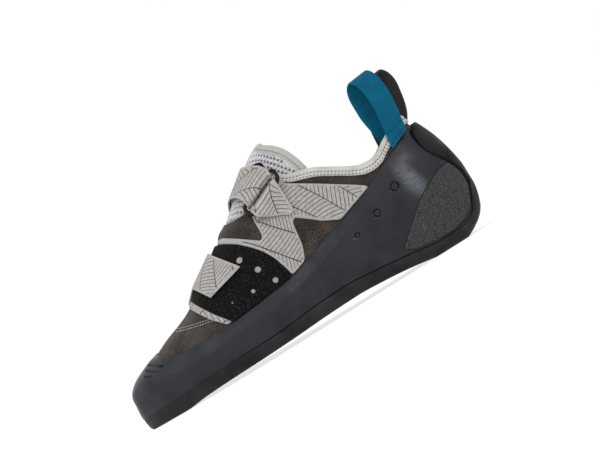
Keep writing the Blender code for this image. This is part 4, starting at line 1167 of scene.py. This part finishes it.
def rand_relief(station, girth):
    """Grooves and a swell at the toe, dimples along the rear half, and a painted sheen at the heel. High
    marks paint shade into the grooves and the dimples' rims.
    """
    places = np.stack([station.ravel(), girth.ravel()], axis=1)
    groove = np.zeros(len(places))
    for path in TOE_GROOVES:
        for line in both_sides(path):
            groove = np.maximum(groove, np.exp(-(path_distance(places, line) / GROOVE_HALF) ** 4))
    centres = [flat_place(*dimple[:2], side) for dimple in RAND_DIMPLES for side in SIDES]
    sizes = [dimple[2] for dimple in RAND_DIMPLES for _ in SIDES]
    away = from_dents(places, round_dents(centres, sizes))
    ring = np.exp(-((away - DIMPLE_RIM) / DIMPLE_RIM_HALF) ** 2)
    sunk = np.maximum(ring, DIMPLE_FLOOR * (1 - smooth(DIMPLE_RIM, 1.0, away)))
    angle = angle_of(places[:, 0])
    foot_way = way_at(angle, np.zeros(len(places)), np.where(places[:, 1] <= 0, OUTER, INNER))
    along, up = places[:, 0] - TOE, foot_way - np.abs(places[:, 1])
    swell = TOE_SWELL * (1 - smooth(0, TOE_SWELL_REACH[0], along)) * (1 - smooth(0, TOE_SWELL_REACH[1], up))
    height = swell - GROOVE_DEPTH * groove - DIMPLE_DEPTH * sunk
    # A painted sheen: negative marks at the heel make the rubber lighter and streaked.
    wear_and_sheen = np.exp(-(((places - flat_place(*PAINTED_SHEEN, OUTER)) / PAINTED_SHEEN_REACH) ** 2).sum(axis=1))
    # Painted shade: the grooves and dimple rims get high marks, which darken them.
    recess_shade = np.maximum(groove, ring)
    mark = recess_shade - PAINTED_SHEEN_MARK * wear_and_sheen * (1 - recess_shade)
    return height.reshape(station.shape), mark.reshape(station.shape)


def make_upper():
    meetings = leaving_zone(OPEN_EDGE, *THROAT_SPAN), leaving_zone(OPEN_EDGE, *BACK_SPAN)
    columns = columns_round((*UPPER_ZONES, *meetings))
    lifts = (-WALL, 0.0)
    shell("upper_suede", OPEN_EDGE, lifts, columns, UPPER_ROWS, creases, (SUEDE, LINING), "upper")


RAND_SKIVE = 1.5


def make_rand():
    meetings = leaving_zone(RAND_EDGE, *RAND_TOE_SPAN), leaving_zone(RAND_EDGE, *BACK_SPAN)
    reach, spacing = DIMPLE_ZONE
    dimples = [(station - reach * size, station + reach * size, spacing) for station, _, size in RAND_DIMPLES]
    columns = columns_round((TOE_ZONE, *dimples, *meetings))
    shell("rand_band", RAND_EDGE, RAND_LIFT, columns, RAND_ROWS, rand_relief, (RAND,), "rand",
          RAND_SKIVE)


def across_plate(ring, columns, crown=0.0):
    """Rows of points across a ring, from its outer side to its inner side, lower in the middle by crown."""
    side = np.arange(np.argmin(np.abs(columns - np.pi)) + 1)
    opposite = (len(columns) - side) % len(columns)
    share = np.linspace(0, 1, PLATE_ACROSS)[None, :, None]
    rows = ring[side][:, None] * (1 - share) + ring[opposite][:, None] * share
    rows[..., 2] -= crown * (1 - (2 * share[..., 0] - 1) ** 2)
    return rows


def plate(name, profile, columns, crown, finish, node, mark=None):
    """A plate with a profile (lift, height) round its edge, from the lower face to the upper one.

    The upper face dips by crown in the middle.
    """
    rings = [foot(columns, lift, height) for lift, height in profile]
    wall = np.stack(rings, axis=1)
    low = across_plate(rings[0], columns)
    high = across_plate(rings[-1], columns, crown)
    points = np.concatenate([wall.reshape(-1, 3), low.reshape(-1, 3), high.reshape(-1, 3)])
    start = len(columns) * len(rings)
    faces = np.concatenate([
        grid_faces(len(columns), len(rings)),
        grid_faces(len(low), PLATE_ACROSS, start, closed=False)[:, ::-1],
        grid_faces(len(high), PLATE_ACROSS, start + low.size // 3, closed=False),
    ])
    return piece(name, points, faces, (finish,), (node,), mark=None if mark is None else mark(points))


TOE_WRAP = ((1.0, 2.5), (11.7, 10.1))   # the rand's rubber reaches back to this line, as height and station
TOE_WRAP_BLUR = 0.3
PLATE_INNER_LIFT = -4.0       # the faces of sole and insole are flat from here inwards
SOLE_EDGE = ((-1.2, 0.0), (-0.5, 0.0), (0.0, 0.3))   # rounded lower edge: lift and height from its corner
SOLE_BEVEL_ROWS = (0.15, 0.3, 0.45, 0.6, 0.75, 0.9, 1.0)
SOLE_BEVEL_BULGE = 1.5        # above 1 the bevel is rounded
SOLE_RIM = 1.3                # least height of the rim over the bevel
SOLE_SEAM_DEPTH = 1.5         # of the groove between the sole and the rand
SOLE_SEAM_HEIGHT = 0.75
SOLE_SEAM_ENDS = (45.0, 110.0, 254.0, 261.0)   # stations over which it deepens, and closes again
SOLE_SEAM_PROFILE = ((0.2, 0.0), (0.9, 0.1), (1.0, 0.2))   # share of its depth, and height over its lip
SOLE_LIP = 0.3                # height over which the rim rounds into the groove


def toe_wrap(points):
    """The mark of the sole's toe front, which the rand's rubber covers."""
    heights, stations = np.array(TOE_WRAP).T
    line = np.interp(points[:, 2], heights, stations)
    return smooth(-TOE_WRAP_BLUR, TOE_WRAP_BLUR, points[:, 0] + MID - line) - 1


def sole_profile(angle):
    """The sole's edge as lifts and heights: a bevel, an upright rim, and a groove along the rim's top."""
    station = station_of(angle)
    back = smooth(np.pi - 2 * SOLE_HEEL_ANGLE, np.pi - SOLE_HEEL_ANGLE, angle)
    rim = SOLE_LIFT + (SOLE_HEEL_LIFT - SOLE_LIFT) * back
    bottom = side_line(SOLE_BOTTOM, station)
    top = section(angle, "sole_z")
    seam = SOLE_SEAM_DEPTH * (smooth(*SOLE_SEAM_ENDS[:2], station) - smooth(*SOLE_SEAM_ENDS[2:], station))
    lip = top - SOLE_SEAM_HEIGHT
    bevel = np.full(len(angle), SOLE_BEVEL)
    for share, way in zip(SOLE_END_BEVEL, (angle, np.pi - angle)):
        bevel += (share * (top - bottom) - SOLE_BEVEL) * smooth(0, 1, 1 - way / SOLE_END_ANGLE)
    low = SOLE_FOOT_LIFT + (SOLE_TOE_LIFT - SOLE_FOOT_LIFT) * smooth(0, 1, 1 - angle / SOLE_END_ANGLE)
    profile = [(low + lift, bottom + height) for lift, height in SOLE_EDGE]
    bevel_foot = profile[-1][1]
    shoulder = np.minimum(bevel_foot + bevel, top - SOLE_RIM)
    for share in SOLE_BEVEL_ROWS:
        out = 1 - (1 - share) ** SOLE_BEVEL_BULGE
        profile.append((low + (rim - low) * out, bevel_foot + (shoulder - bevel_foot) * share))
    profile += [(rim, (shoulder + lip - SOLE_LIP) / 2), (rim, lip - SOLE_LIP)]
    profile += [(rim - share * seam, lip + height) for share, height in SOLE_SEAM_PROFILE]
    return profile + [(rim - seam, top), (0.0, top), (PLATE_INNER_LIFT, top)]


def make_outsole():
    columns = columns_round()
    profile = sole_profile(from_toe(columns))
    plate("outsole_rubber", profile, columns, 0.0, SOLE, "outsole", toe_wrap)


INSOLE_FOOT = ((-0.3, 0.0), (0.0, 0.3))                 # lift from its edge, and height over its lower face
INSOLE_TOP = ((0.0, -0.6), (-0.2, -0.15), (-0.7, 0.0))  # lift from its edge, and height over its upper face
INSOLE_DIP = (0.2, 1.0)       # the upper face lies lower inside its edge, and again in the middle


def make_insole():
    columns = columns_round()
    low = section(from_toe(columns), "sole_z") + SOLE_GAP
    top = low + INSOLE_THICK
    edge = [(INSOLE_LIFT + lift, low + height) for lift, height in INSOLE_FOOT]
    edge += [(INSOLE_LIFT + lift, top + height) for lift, height in INSOLE_TOP]
    profile = [(PLATE_INNER_LIFT, low), *edge, (PLATE_INNER_LIFT, top - INSOLE_DIP[0])]
    plate("insole_bed", profile, columns, INSOLE_DIP[1], BOARD, "insole")


STRIP_FOOT = 0.12
STRIP_TURN = 4.3              # height over which the strip's rows turn from the sole's line to level


def strip_places():
    """Angles round the shoe and levels of the heel strip, in rows from edge to edge."""
    shares = np.linspace(-1, 1, STRIP_ACROSS)
    first = section(np.pi, "sole_z") + STRIP_FOOT
    heights = np.linspace(first, STRIP_EDGE[-1][0], STRIP_ROWS)
    ridge_angles = np.linspace(angle_of(STRIP_RIDGE[0]), np.pi, STRIP_RIDGE[1])
    ridge_heights = section(ridge_angles, "ridge_z")
    around = np.zeros((STRIP_ROWS, STRIP_ACROSS))
    levels = np.zeros_like(around)
    for i, height in enumerate(heights):
        top = np.interp(-height, -ridge_heights, ridge_angles)
        edge = angle_of(side_line(STRIP_EDGE, height))
        angles = top - (top - edge) * shares ** 2
        around[i] = np.where(shares <= 0, angles, 2 * np.pi - angles)
        turned = np.clip((height - first) / STRIP_TURN, 0, 1)
        row_z = height + (section(angles, "sole_z") + STRIP_FOOT - first) * (1 - turned)
        levels[i] = level_at(around[i], row_z)
    return around, levels


def make_heel_strip():
    """The strip up the back of the heel, its rim rounded."""
    around, levels = strip_places()
    under = skin(around, levels, STRIP_LIFT[0])
    run = np.cumsum(np.linalg.norm(np.diff(under, axis=1, prepend=under[:, :1]), axis=2), axis=1)
    rise = np.cumsum(np.linalg.norm(np.diff(under[::-1], axis=0, prepend=under[-1:]), axis=2), axis=0)[::-1]
    rim = np.minimum(np.minimum(run, run[:, -1:] - run), rise)
    thick = STRIP_LIFT[1] - STRIP_LIFT[0]
    over = skin(around, levels, STRIP_LIFT[0] + thick * rounded(rim / thick))
    other = under.size // 3
    k = np.arange(STRIP_ACROSS - 1)
    foot_faces = np.stack([k, k + 1, other + k + 1, other + k], axis=1)
    faces = np.concatenate([
        grid_faces(STRIP_ROWS, STRIP_ACROSS, closed=False),
        grid_faces(STRIP_ROWS, STRIP_ACROSS, other, closed=False)[:, ::-1],
        foot_faces,
    ])
    points = np.concatenate([over.reshape(-1, 3), under.reshape(-1, 3)])
    piece("heel_strip_rubber", points, faces, (SHADED_STRIP_RUBBER,), ("heel_strip",))


HEEL_PATCH_GROW = 0.5


def make_heel_patches():
    for side in SIDES:
        node = "heel_patch_" + SIDE_NAMES[side]
        loop = outline_loop(on_side(HEEL_PATCH_OUTLINE, side), HEEL_PATCH_GROW)
        patch(node + "_grain", loop, PATCH_LIFT, PATCH_SPACING["heel"], (HEEL_GRAIN,), node)


TRIM_BAND = 6.4               # width of the trim along the tongue's free edge
TRIM_SEAM = 4.4
TRIM_CURL = (1.7, 5.0)        # the free edge turns down by this much, over this width
TRIM_RISE = 0.5
TRIM_STEP = 0.4               # width over which the trim falls to the mesh
TRIM_FROM = 158.5             # station from which the tongue's edge is free
RIDGE_BAND = (4.0, 141.0)     # a plain strip up the middle: half width, and station it starts at
MESH_PITCH = 3.4
MESH_HOLE = 1.1
MESH_DEPTH = 0.9
MESH_MARGINS = (2.5, 1.1, 1.2)   # of the holes, at the tongue's edge, the trim and the plain strip
HOLE_WALL = (0.6, 1.15)       # a hole's wall slopes between these shares of its size
TONGUE_SOFTENED = 30
TONGUE_SWELL = 2.8            # how far the padding swells up in the throat
SWELL_REACH = 7.0
TONGUE_STITCH = (2.2, 1.3, 0.26)   # pitch, length and radius, as for the other stitches
TONGUE_THREAD_LIFT = 0.1
SEAM_ENDS = slice(4, -4)      # leaves out the first and last points of an edge


def mesh_holes(loop, free_edge):
    """The tongue's holes, as dents on an even grid clear of its edge, its trim and its plain strip."""
    holes = hex_grid(loop.min(axis=0), loop.max(axis=0), MESH_PITCH)
    holes = holes[inside(holes, loop)]
    holes = holes[path_distance(holes, loop, True) > MESH_MARGINS[0]]
    holes = holes[path_distance(holes, free_edge) > TRIM_BAND + MESH_MARGINS[1]]
    holes = holes[(np.abs(holes[:, 1]) > RIDGE_BAND[0] + MESH_MARGINS[2]) | (holes[:, 0] < RIDGE_BAND[1])]
    return round_dents(holes, np.full(len(holes), MESH_HOLE))


def make_tongue():
    """Padded mesh with round holes, and a trim folded over its free edge."""
    loop = outline_loop(TONGUE_OUTLINE, softened=TONGUE_SOFTENED)
    loop = np.roll(loop, -np.argmin(loop[:, 0]), axis=0)
    free = loop[:, 0] > TRIM_FROM
    free_edge = loop[free]
    dents = mesh_holes(loop, free_edge)

    def relief(flat):
        station, way = flat[:, 0], np.abs(flat[:, 1])
        from_edge = path_distance(flat, free_edge)
        trim = 1 - smooth(TRIM_BAND - TRIM_STEP, TRIM_BAND, from_edge)
        middle = 1 - smooth(RIDGE_BAND[0] - TRIM_STEP, RIDGE_BAND[0], way)
        trim = np.maximum(trim, middle * smooth(RIDGE_BAND[1], RIDGE_BAND[1] + 1, station))
        hole = 1 - smooth(*HOLE_WALL, from_dents(flat, dents))
        throat = -flat_place(station, side_line(OPEN_EDGE, station), OUTER)[:, 1]
        swell = TONGUE_SWELL * smooth(0.0, SWELL_REACH, throat - way)
        swell *= 1 - smooth(TRIM_FROM - 2 * SWELL_REACH, TRIM_FROM, station)
        curl = TRIM_CURL[0] * np.clip(1 - from_edge / TRIM_CURL[1], 0, 1) ** 2
        return swell + TRIM_RISE * trim - curl - MESH_DEPTH * hole, hole - trim

    tongue = patch("tongue_padded", loop, TONGUE_LIFT, PATCH_SPACING["tongue"], (MESH,),
                   "tongue", relief, dents, HOLE_WALL)
    seam = free_edge + inward(loop)[free] * TRIM_SEAM
    line = on_skin(*seam[SEAM_ENDS].T, TONGUE_LIFT[1] + TRIM_RISE + TONGUE_THREAD_LIFT)
    stitches("tongue_trim_stitches", (line,), TONGUE_STITCH, DARK_THREAD)


def collar_row(share):
    """Angles and levels along the collar, outer side to inner, a share of the binding's width below it."""
    grow = [np.clip((row[0] - BINDING_FRONT) / (BINDING_FULL - BINDING_FRONT), 0, 1) for row in OPEN_EDGE]
    widths = [BINDING_WIDTH[0] + (BINDING_WIDTH[1] - BINDING_WIDTH[0]) * part for part in grow]
    lowered = tuple((row[0], row[1] - width * share) for row, width in zip(OPEN_EDGE, widths))
    back = ridge_meeting(lowered, *BINDING_BACK_SPAN)
    angles = np.linspace(angle_of(BINDING_FRONT), COLLAR_BACK_ANGLE, COLLAR_COLUMNS)
    turn = np.clip(1 - (COLLAR_BACK_ANGLE - angles) / BINDING_TURN, 0, 1)
    angles = angles + (back - COLLAR_BACK_ANGLE) * turn
    levels = level_at(angles, side_line(lowered, station_of(angles)))
    levels[-1] = 1.0
    around = np.concatenate([angles, 2 * np.pi - angles[-2::-1]])
    return around, np.concatenate([levels, levels[-2::-1]])


# The binding's section: share of its width below the collar, lift off the skin, and rise over the collar
BINDING_PROFILE = (
    (1.0, 0.6, 0.0), (1.0, 1.0, 0.0), (0.97, 1.4, 0.0), (0.9, 1.75, 0.0), (0.84, 1.72, 0.0),
    (0.8, 1.62, 0.0), (0.76, 1.75, 0.0), (0.66, 2.05, 0.0), (0.54, 2.05, 0.0), (0.46, 1.85, 0.0),
    (0.42, 1.72, 0.0), (0.38, 1.85, 0.0), (0.28, 2.15, 0.0), (0.14, 2.2, 0.0), (0.0, 1.95, 0.1),
    (0.0, 1.45, 0.8), (0.0, 0.4, 1.5), (0.0, -1.0, 1.8), (0.0, -2.4, 1.5), (0.0, -3.35, 0.8),
    (0.0, -3.8, 0.0), (0.2, -3.95, 0.0), (0.45, -3.8, 0.0), (0.57, -3.4, 0.0), (0.6, -2.9, 0.0),
    (0.55, -2.6, 0.0), (0.0, -2.6, 0.5), (0.0, 0.6, 0.5),
)
# The section's points round its outer leg, its fold over the collar and its inner leg, which close each end
BINDING_ENDS = ((*range(15), 27), (27, *range(14, 21), 26), (26, *range(20, 26)))
BINDING_STEP = 0.6            # way between neighbouring points of the section, for the weave
COLLAR_SEAMS = ((0.8, 1.8), (0.42, 1.85))   # share of the binding's width, and lift
COLLAR_STITCH = (2.3, 1.5, 0.42)
SUNK_STITCH = (2.3, 1.1, 0.3)


def make_collar_binding():
    """A soft band folded over the collar's edge, with two rows of stitches sunk into it."""
    rings = []
    for share, lift, rise in BINDING_PROFILE:
        points = skin(*collar_row(share), lift)
        points[:, 2] += rise
        rings.append(points)
    grid = np.stack(rings, axis=1)
    count, corners = grid.shape[:2]
    faces = band_faces(count, corners)
    for start in (0, (count - 1) * corners):
        faces += [[start + index for index in face] for face in BINDING_ENDS]
    run = lengths_along(grid[:, 0])
    flat = np.stack(np.broadcast_arrays(run[:, None], np.arange(corners) * BINDING_STEP, 0.0), axis=-1)
    binding = piece("collar_binding_band", grid.reshape(-1, 3), faces, (TRIM,),
                    ("collar_binding",), flat.reshape(-1, 3))
    lower, upper = (skin(*collar_row(share), lift)[SEAM_ENDS] for share, lift in COLLAR_SEAMS)
    halfway = resampled(lower, COLLAR_STITCH[0] / 2)[1:-1]
    stitches("collar_stitches", (lower,), COLLAR_STITCH, THREAD)
    # The sunk rows are dark thread, which paints the shade of the binding's grooves they lie in.
    stitches("collar_stitches_sunk", (upper, halfway), SUNK_STITCH, DARK_THREAD)


OVERLAY_SEAM = ((141.5, 84.6), (155.5, 76.8))
OVERLAY_STITCH = (1.6, 1.3, 0.2)
OVERLAY_THREAD_LIFT = 0.05
OVERLAY_GROW = 0.4            # closes the seams between the layers
PAD_GROW = 0.8


def make_overlays():
    for side in SIDES:
        node = "side_overlay_" + SIDE_NAMES[side]
        loop = outline_loop(on_side(OVERLAY_OUTLINE, side), OVERLAY_GROW)
        patch(node + "_print", loop, OVERLAY_LIFT, PATCH_SPACING["overlay"], (PRINT,), node)
        seam = flat_path(on_side(OVERLAY_SEAM, side))
        line = on_skin(seam[:, 0], seam[:, 1], OVERLAY_LIFT[1] + OVERLAY_THREAD_LIFT)
        stitches(node + "_seam", (line,), OVERLAY_STITCH, DARK_THREAD)


VENT_RADII = (0.5, 0.86, 0.96, 1.06)   # rings of points in a vent, in its sizes. The last three are its wall


def make_pad():
    """The loop-faced pad with its vents, and the strip along its front edge."""
    centres = [flat_place(station, height, OUTER) for station, height, _ in VENT_DOTS]
    dents = round_dents(centres, [size for _, _, size in VENT_DOTS])

    def relief(flat):
        sunk = 1 - smooth(VENT_RADII[1], VENT_RADII[-1], from_dents(flat, dents))
        return -VENT_DEPTH * sunk, sunk

    pad = outline_loop(PAD_OUTLINE, PAD_GROW)
    patch("lower_strap_pad_loops", pad, OVERLAY_LIFT, PATCH_SPACING["pad"], (LOOP_PILE,),
          "lower_strap_pad", relief, dents, VENT_RADII)
    trim = outline_loop(TRIM_OUTLINE, softened=1)
    patch("lower_strap_trim_print", trim, OVERLAY_LIFT, PATCH_SPACING["trim"], (TRIM_PRINT,),
          "lower_strap_trim")


RING_TURNS = np.radians(np.arange(0, 91, 10))


def make_ring(side):
    """A rectangular wire ring that lies over the skin with its long bars along the shoe."""
    station, girth, turned = RINGS[side]
    node = "ring_" + SIDE_NAMES[side]
    reach = RING_LENGTH / 2 - RING_CORNER
    rise = RING_HALF_HEIGHT - RING_CORNER
    shifts, ways = [], []
    for quarter, (long, high) in enumerate(((1, 1), (-1, 1), (-1, -1), (1, -1))):
        turn = RING_TURNS + quarter * np.pi / 2
        shifts.append(long * reach + RING_CORNER * np.cos(turn))
        ways.append(girth + high * rise + RING_CORNER * np.sin(turn))
        if quarter in (0, 2):
            shifts.append(np.linspace(long * reach, -long * reach, RING_BAR_POINTS + 2)[1:-1])
            ways.append(np.full(RING_BAR_POINTS, girth + high * RING_HALF_HEIGHT))
    shifts = np.concatenate(shifts)
    place = (station + shifts, np.concatenate(ways) + turned * shifts)
    centres = on_skin(*place, RING_LIFT)
    outward = on_skin(*place, RING_LIFT + 1) - centres
    tube(node + "_wire", centres, outward, RING_WIRE, (RING,), node)


# The straps as rows: way round from the ridge, lift, front and rear station, and slant
LOWER_STRAP = (
    (20.0, STRAP_LOW, 66.0, 90.0, 0.0), (24.0, STRAP_LOW, *strap_edges(INNER)),
    *fold(INNER, -INNER),
    (23.0, 7.2, *strap_edges(INNER)), (15.0, 5.1, 70.5, 92.5, 0.0), (8.0, 3.9, 73.0, 94.8, 0.0),
    (0.0, 3.4, 75.3, 96.6, 0.0), (-10.0, 3.4, 75.9, 97.4, -2.0), (-20.0, 3.4, 77.1, 99.3, -4.0),
    (-30.0, 3.5, 79.0, 102.5, -6.0), (-39.0, 3.7, 81.3, 106.3, -8.0), (-46.4, 3.9, 83.6, 109.8, -9.6),
)
UPPER_STRAP = (
    (40.0, STRAP_LOW, 117.0, 138.0, 0.0), (28.0, STRAP_LOW, 119.0, 138.8, 0.0),
    (18.0, 2.0, 121.2, 139.4, 0.0), (8.0, 0.3, 123.7, 140.2, 0.0), (0.0, -0.2, 126.0, 141.6, 0.0),
    (-8.0, 0.4, 128.5, 144.3, 0.0), (-17.0, 2.2, 131.6, 149.0, -1.5), (-27.0, STRAP_LOW, *strap_edges(OUTER)),
    *fold(OUTER, -OUTER),
    (-28.0, 7.2, 133.0, 155.2, -4.0), (-19.0, 4.7, 129.8, 149.6, -2.0), (-9.0, 2.5, 126.7, 145.0, 0.0),
    (0.0, 1.7, 124.5, 141.9, 0.0), (8.0, 2.0, 122.8, 140.0, 0.0), (13.0, 2.7, 121.8, 139.0, 0.0),
)
UPPER_HOOK_FROM = 26.0        # length along the strap from its sewn end


def make_strap(node, side, route, hook=1, hook_from=0.0):
    """A strap, the ring that it turns round, and the ring's keeper."""
    make_ring(side)
    strap(node + "_print", route, (STRAP_PRINT, HOOK), node, hook, hook_from)
    keeper = "ring_keeper_" + SIDE_NAMES[side]
    strap(keeper + "_print", keeper_route(side), (STRAP_PRINT,), keeper)


LOOP_SLANT = 5.0              # the outer end's front corner is this much lower than its rear corner
LOOP_SEAMS = (2.2, 8.5)       # lengths from the outer end
LOOP_STITCH = (1.6, 1.3, 0.22)


def loop_centres(side):
    """Points along the middle of a pull loop, from its end outside the collar to its end inside."""
    route = LOOP_ROUTES[side]
    leg_ends = []
    for lift, (station, height, _) in ((LOOP_OUTER_LIFT, route[0]), (LOOP_INNER_LIFT, route[-1])):
        around = angle_of(station) if side == OUTER else 2 * np.pi - angle_of(station)
        leg_ends.append(skin(around, level_at(around, height), lift)[1])
    station, height, share = np.array(route).T
    y = leg_ends[0] + (leg_ends[1] - leg_ends[0]) * share
    return np.stack([station - MID, y, height], axis=1)


def make_pull_loop(side, finish, thread):
    """A loop of webbing at the heel, sewn to the outside and the inside of the collar."""
    node = "pull_loop_" + SIDE_NAMES[side]
    centres = loop_centres(side)
    run = lengths_along(centres)
    at, fullness = ribbon_rows(run[-1], WEBBING_THICK)
    centres = np.stack([through(run, column, at) for column in centres.T], axis=1)
    travel = np.gradient(centres, at, axis=0)
    width = unit(np.array([1.0, -side * LOOP_YAW, LOOP_RISE]))
    thick = unit(np.cross(travel, width))
    part, bulge, face = ribbon_section()
    across = part * (WEBBING_WIDTH - WEBBING_THICK) / 2 + bulge * WEBBING_THICK / 2
    offset = face * (WEBBING_THICK / 2 * fullness)[:, None]
    grid = centres[:, None] + across[None, :, None] * width + offset[..., None] * thick[:, None]
    lean = LOOP_SLANT / WEBBING_WIDTH * across[None, :] * (1 - smooth(0, WEBBING_WIDTH, at))[:, None]
    grid += lean[..., None] * unit(travel)[:, None]
    rim = WEBBING_WIDTH / 2 - np.abs(across)
    flat = np.stack(np.broadcast_arrays(at[:, None], across, rim), axis=-1)
    ribbon(node + "_webbing", grid, flat, (finish,), (node,))
    first = SECOND_FACE if side == OUTER else 0
    seams = [grid[np.searchsorted(at, length), first:first + ACROSS] for length in LOOP_SEAMS]
    stitches(node + "_stitches", seams, LOOP_STITCH, thread)


VAMP_SEAM = ((50.6, 48.9), (57.0, 46.9), (64.0, 45.2), (71.0, 43.7), (78.0, 42.2))
VAMP_ROWS = ((0.0, 0.0), (-0.6, -1.5))   # each row's shift from the seam, in station and height
VAMP_STITCH = (2.2, 1.3, 0.36)
VAMP_THREAD_LIFT = 0.22


def make_vamp_stitches():
    lines = []
    for back, down in VAMP_ROWS:
        path = tuple((station + back, height + down) for station, height in VAMP_SEAM)
        lines += [on_skin(line[:, 0], line[:, 1], VAMP_THREAD_LIFT) for line in both_sides(path)]
    stitches("vamp_stitches", lines, VAMP_STITCH, DULL_THREAD)


make_upper()
make_rand()
make_outsole()
make_insole()
make_heel_strip()
make_heel_patches()
make_tongue()
make_collar_binding()
make_overlays()
make_pad()
make_strap("lower_strap", INNER, LOWER_STRAP)
make_strap("upper_strap", OUTER, UPPER_STRAP, -1, UPPER_HOOK_FROM)
make_pull_loop(OUTER, TEAL, TEAL_THREAD)
make_pull_loop(INNER, BLACK, DARK_THREAD)
make_vamp_stitches()

# Camera at the photo's angle: square to the outer side, rolled with the shoe's slope in the picture
CAMERA_AIM = (0.01735, 0.0, 0.057)
CAMERA_AWAY = 1.6475
CAMERA_LENS = 150.0
CAMERA_SENSOR = 36.0
CAMERA_CLIP = 0.01
CAMERA_RIGHT = (0.8501, 0.0, -0.5266)
CAMERA_UP = (0.5266, 0.0, 0.8501)


def add_camera():
    camera = bpy.data.objects.new("camera", bpy.data.cameras.new("camera"))
    camera.data.lens = CAMERA_LENS
    camera.data.sensor_width = CAMERA_SENSOR
    camera.data.clip_start = CAMERA_CLIP
    place = (CAMERA_AIM[0], CAMERA_AIM[1] - CAMERA_AWAY, CAMERA_AIM[2])
    axes = (CAMERA_RIGHT, CAMERA_UP, (0.0, -1.0, 0.0), place)
    camera.matrix_world = Matrix([[axis[row] for axis in axes] for row in range(3)] + [[0.0, 0.0, 0.0, 1.0]])
    bpy.context.scene.collection.objects.link(camera)
    bpy.context.scene.camera = camera


FLOOR_COLOURS = (tint(152, 152, 152), tint(156, 156, 156))
FLOOR_GLOW = 0.75             # keeps the shoe's shadow pale
FLOOR_REACH = 3.0
FLOOR_HEIGHT = -0.0003        # just below the sole


def add_floor():
    mesh = bpy.data.meshes.new("floor")
    corners = ((-1, -1), (1, -1), (1, 1), (-1, 1))
    points = [(x * FLOOR_REACH, y * FLOOR_REACH, FLOOR_HEIGHT) for x, y in corners]
    mesh.from_pydata(points, [], [(0, 1, 2, 3)])
    finish = Finish("floor_paint", 0.9, specular=0.0)
    finish.colour(finish.mix(finish.noise(0.002, 2.0), FLOOR_COLOURS[0], FLOOR_COLOURS[1]))
    finish.shader.inputs["Emission Color"].default_value = (1.0, 1.0, 1.0, 1.0)
    finish.shader.inputs["Emission Strength"].default_value = FLOOR_GLOW
    mesh.materials.append(finish.material)
    floor = bpy.data.objects.new("floor", mesh)
    bpy.context.scene.collection.objects.link(floor)


def add_light(name, place, aim, size, power):
    """A square soft light at a place, turned towards an aim."""
    data = bpy.data.lights.new(name, "AREA")
    data.size = size
    data.energy = power
    light = bpy.data.objects.new(name, data)
    facing = np.array(place) - np.array(aim)
    light.matrix_world = Matrix.Translation(place)
    light.rotation_mode = "QUATERNION"
    light.rotation_quaternion = Vector(facing).to_track_quat("Z", "Y")
    bpy.context.scene.collection.objects.link(light)


# Soft lights: name, place, aim, size and power
LIGHTS = (
    ("key", (-0.5, -0.9, 1.3), (0.0, 0.0, 0.05), 0.9, 4.0),
    ("toe_side", (-0.9, -0.45, 0.75), (-0.09, 0.0, 0.03), 0.6, 1.0),
    ("heel_side", (0.58, -1.03, 0.68), (0.095, -0.03, 0.065), 0.25, 3.0),
)


def add_studio():
    world = bpy.data.worlds.new("studio")
    world.use_nodes = True
    world.node_tree.nodes["Background"].inputs["Color"].default_value = (1.0, 1.0, 1.0, 1.0)
    world.node_tree.nodes["Background"].inputs["Strength"].default_value = 1.0
    bpy.context.scene.world = world
    bpy.context.scene.view_settings.view_transform = "Standard"
    for light in LIGHTS:
        add_light(*light)


add_camera()
add_floor()
add_studio()
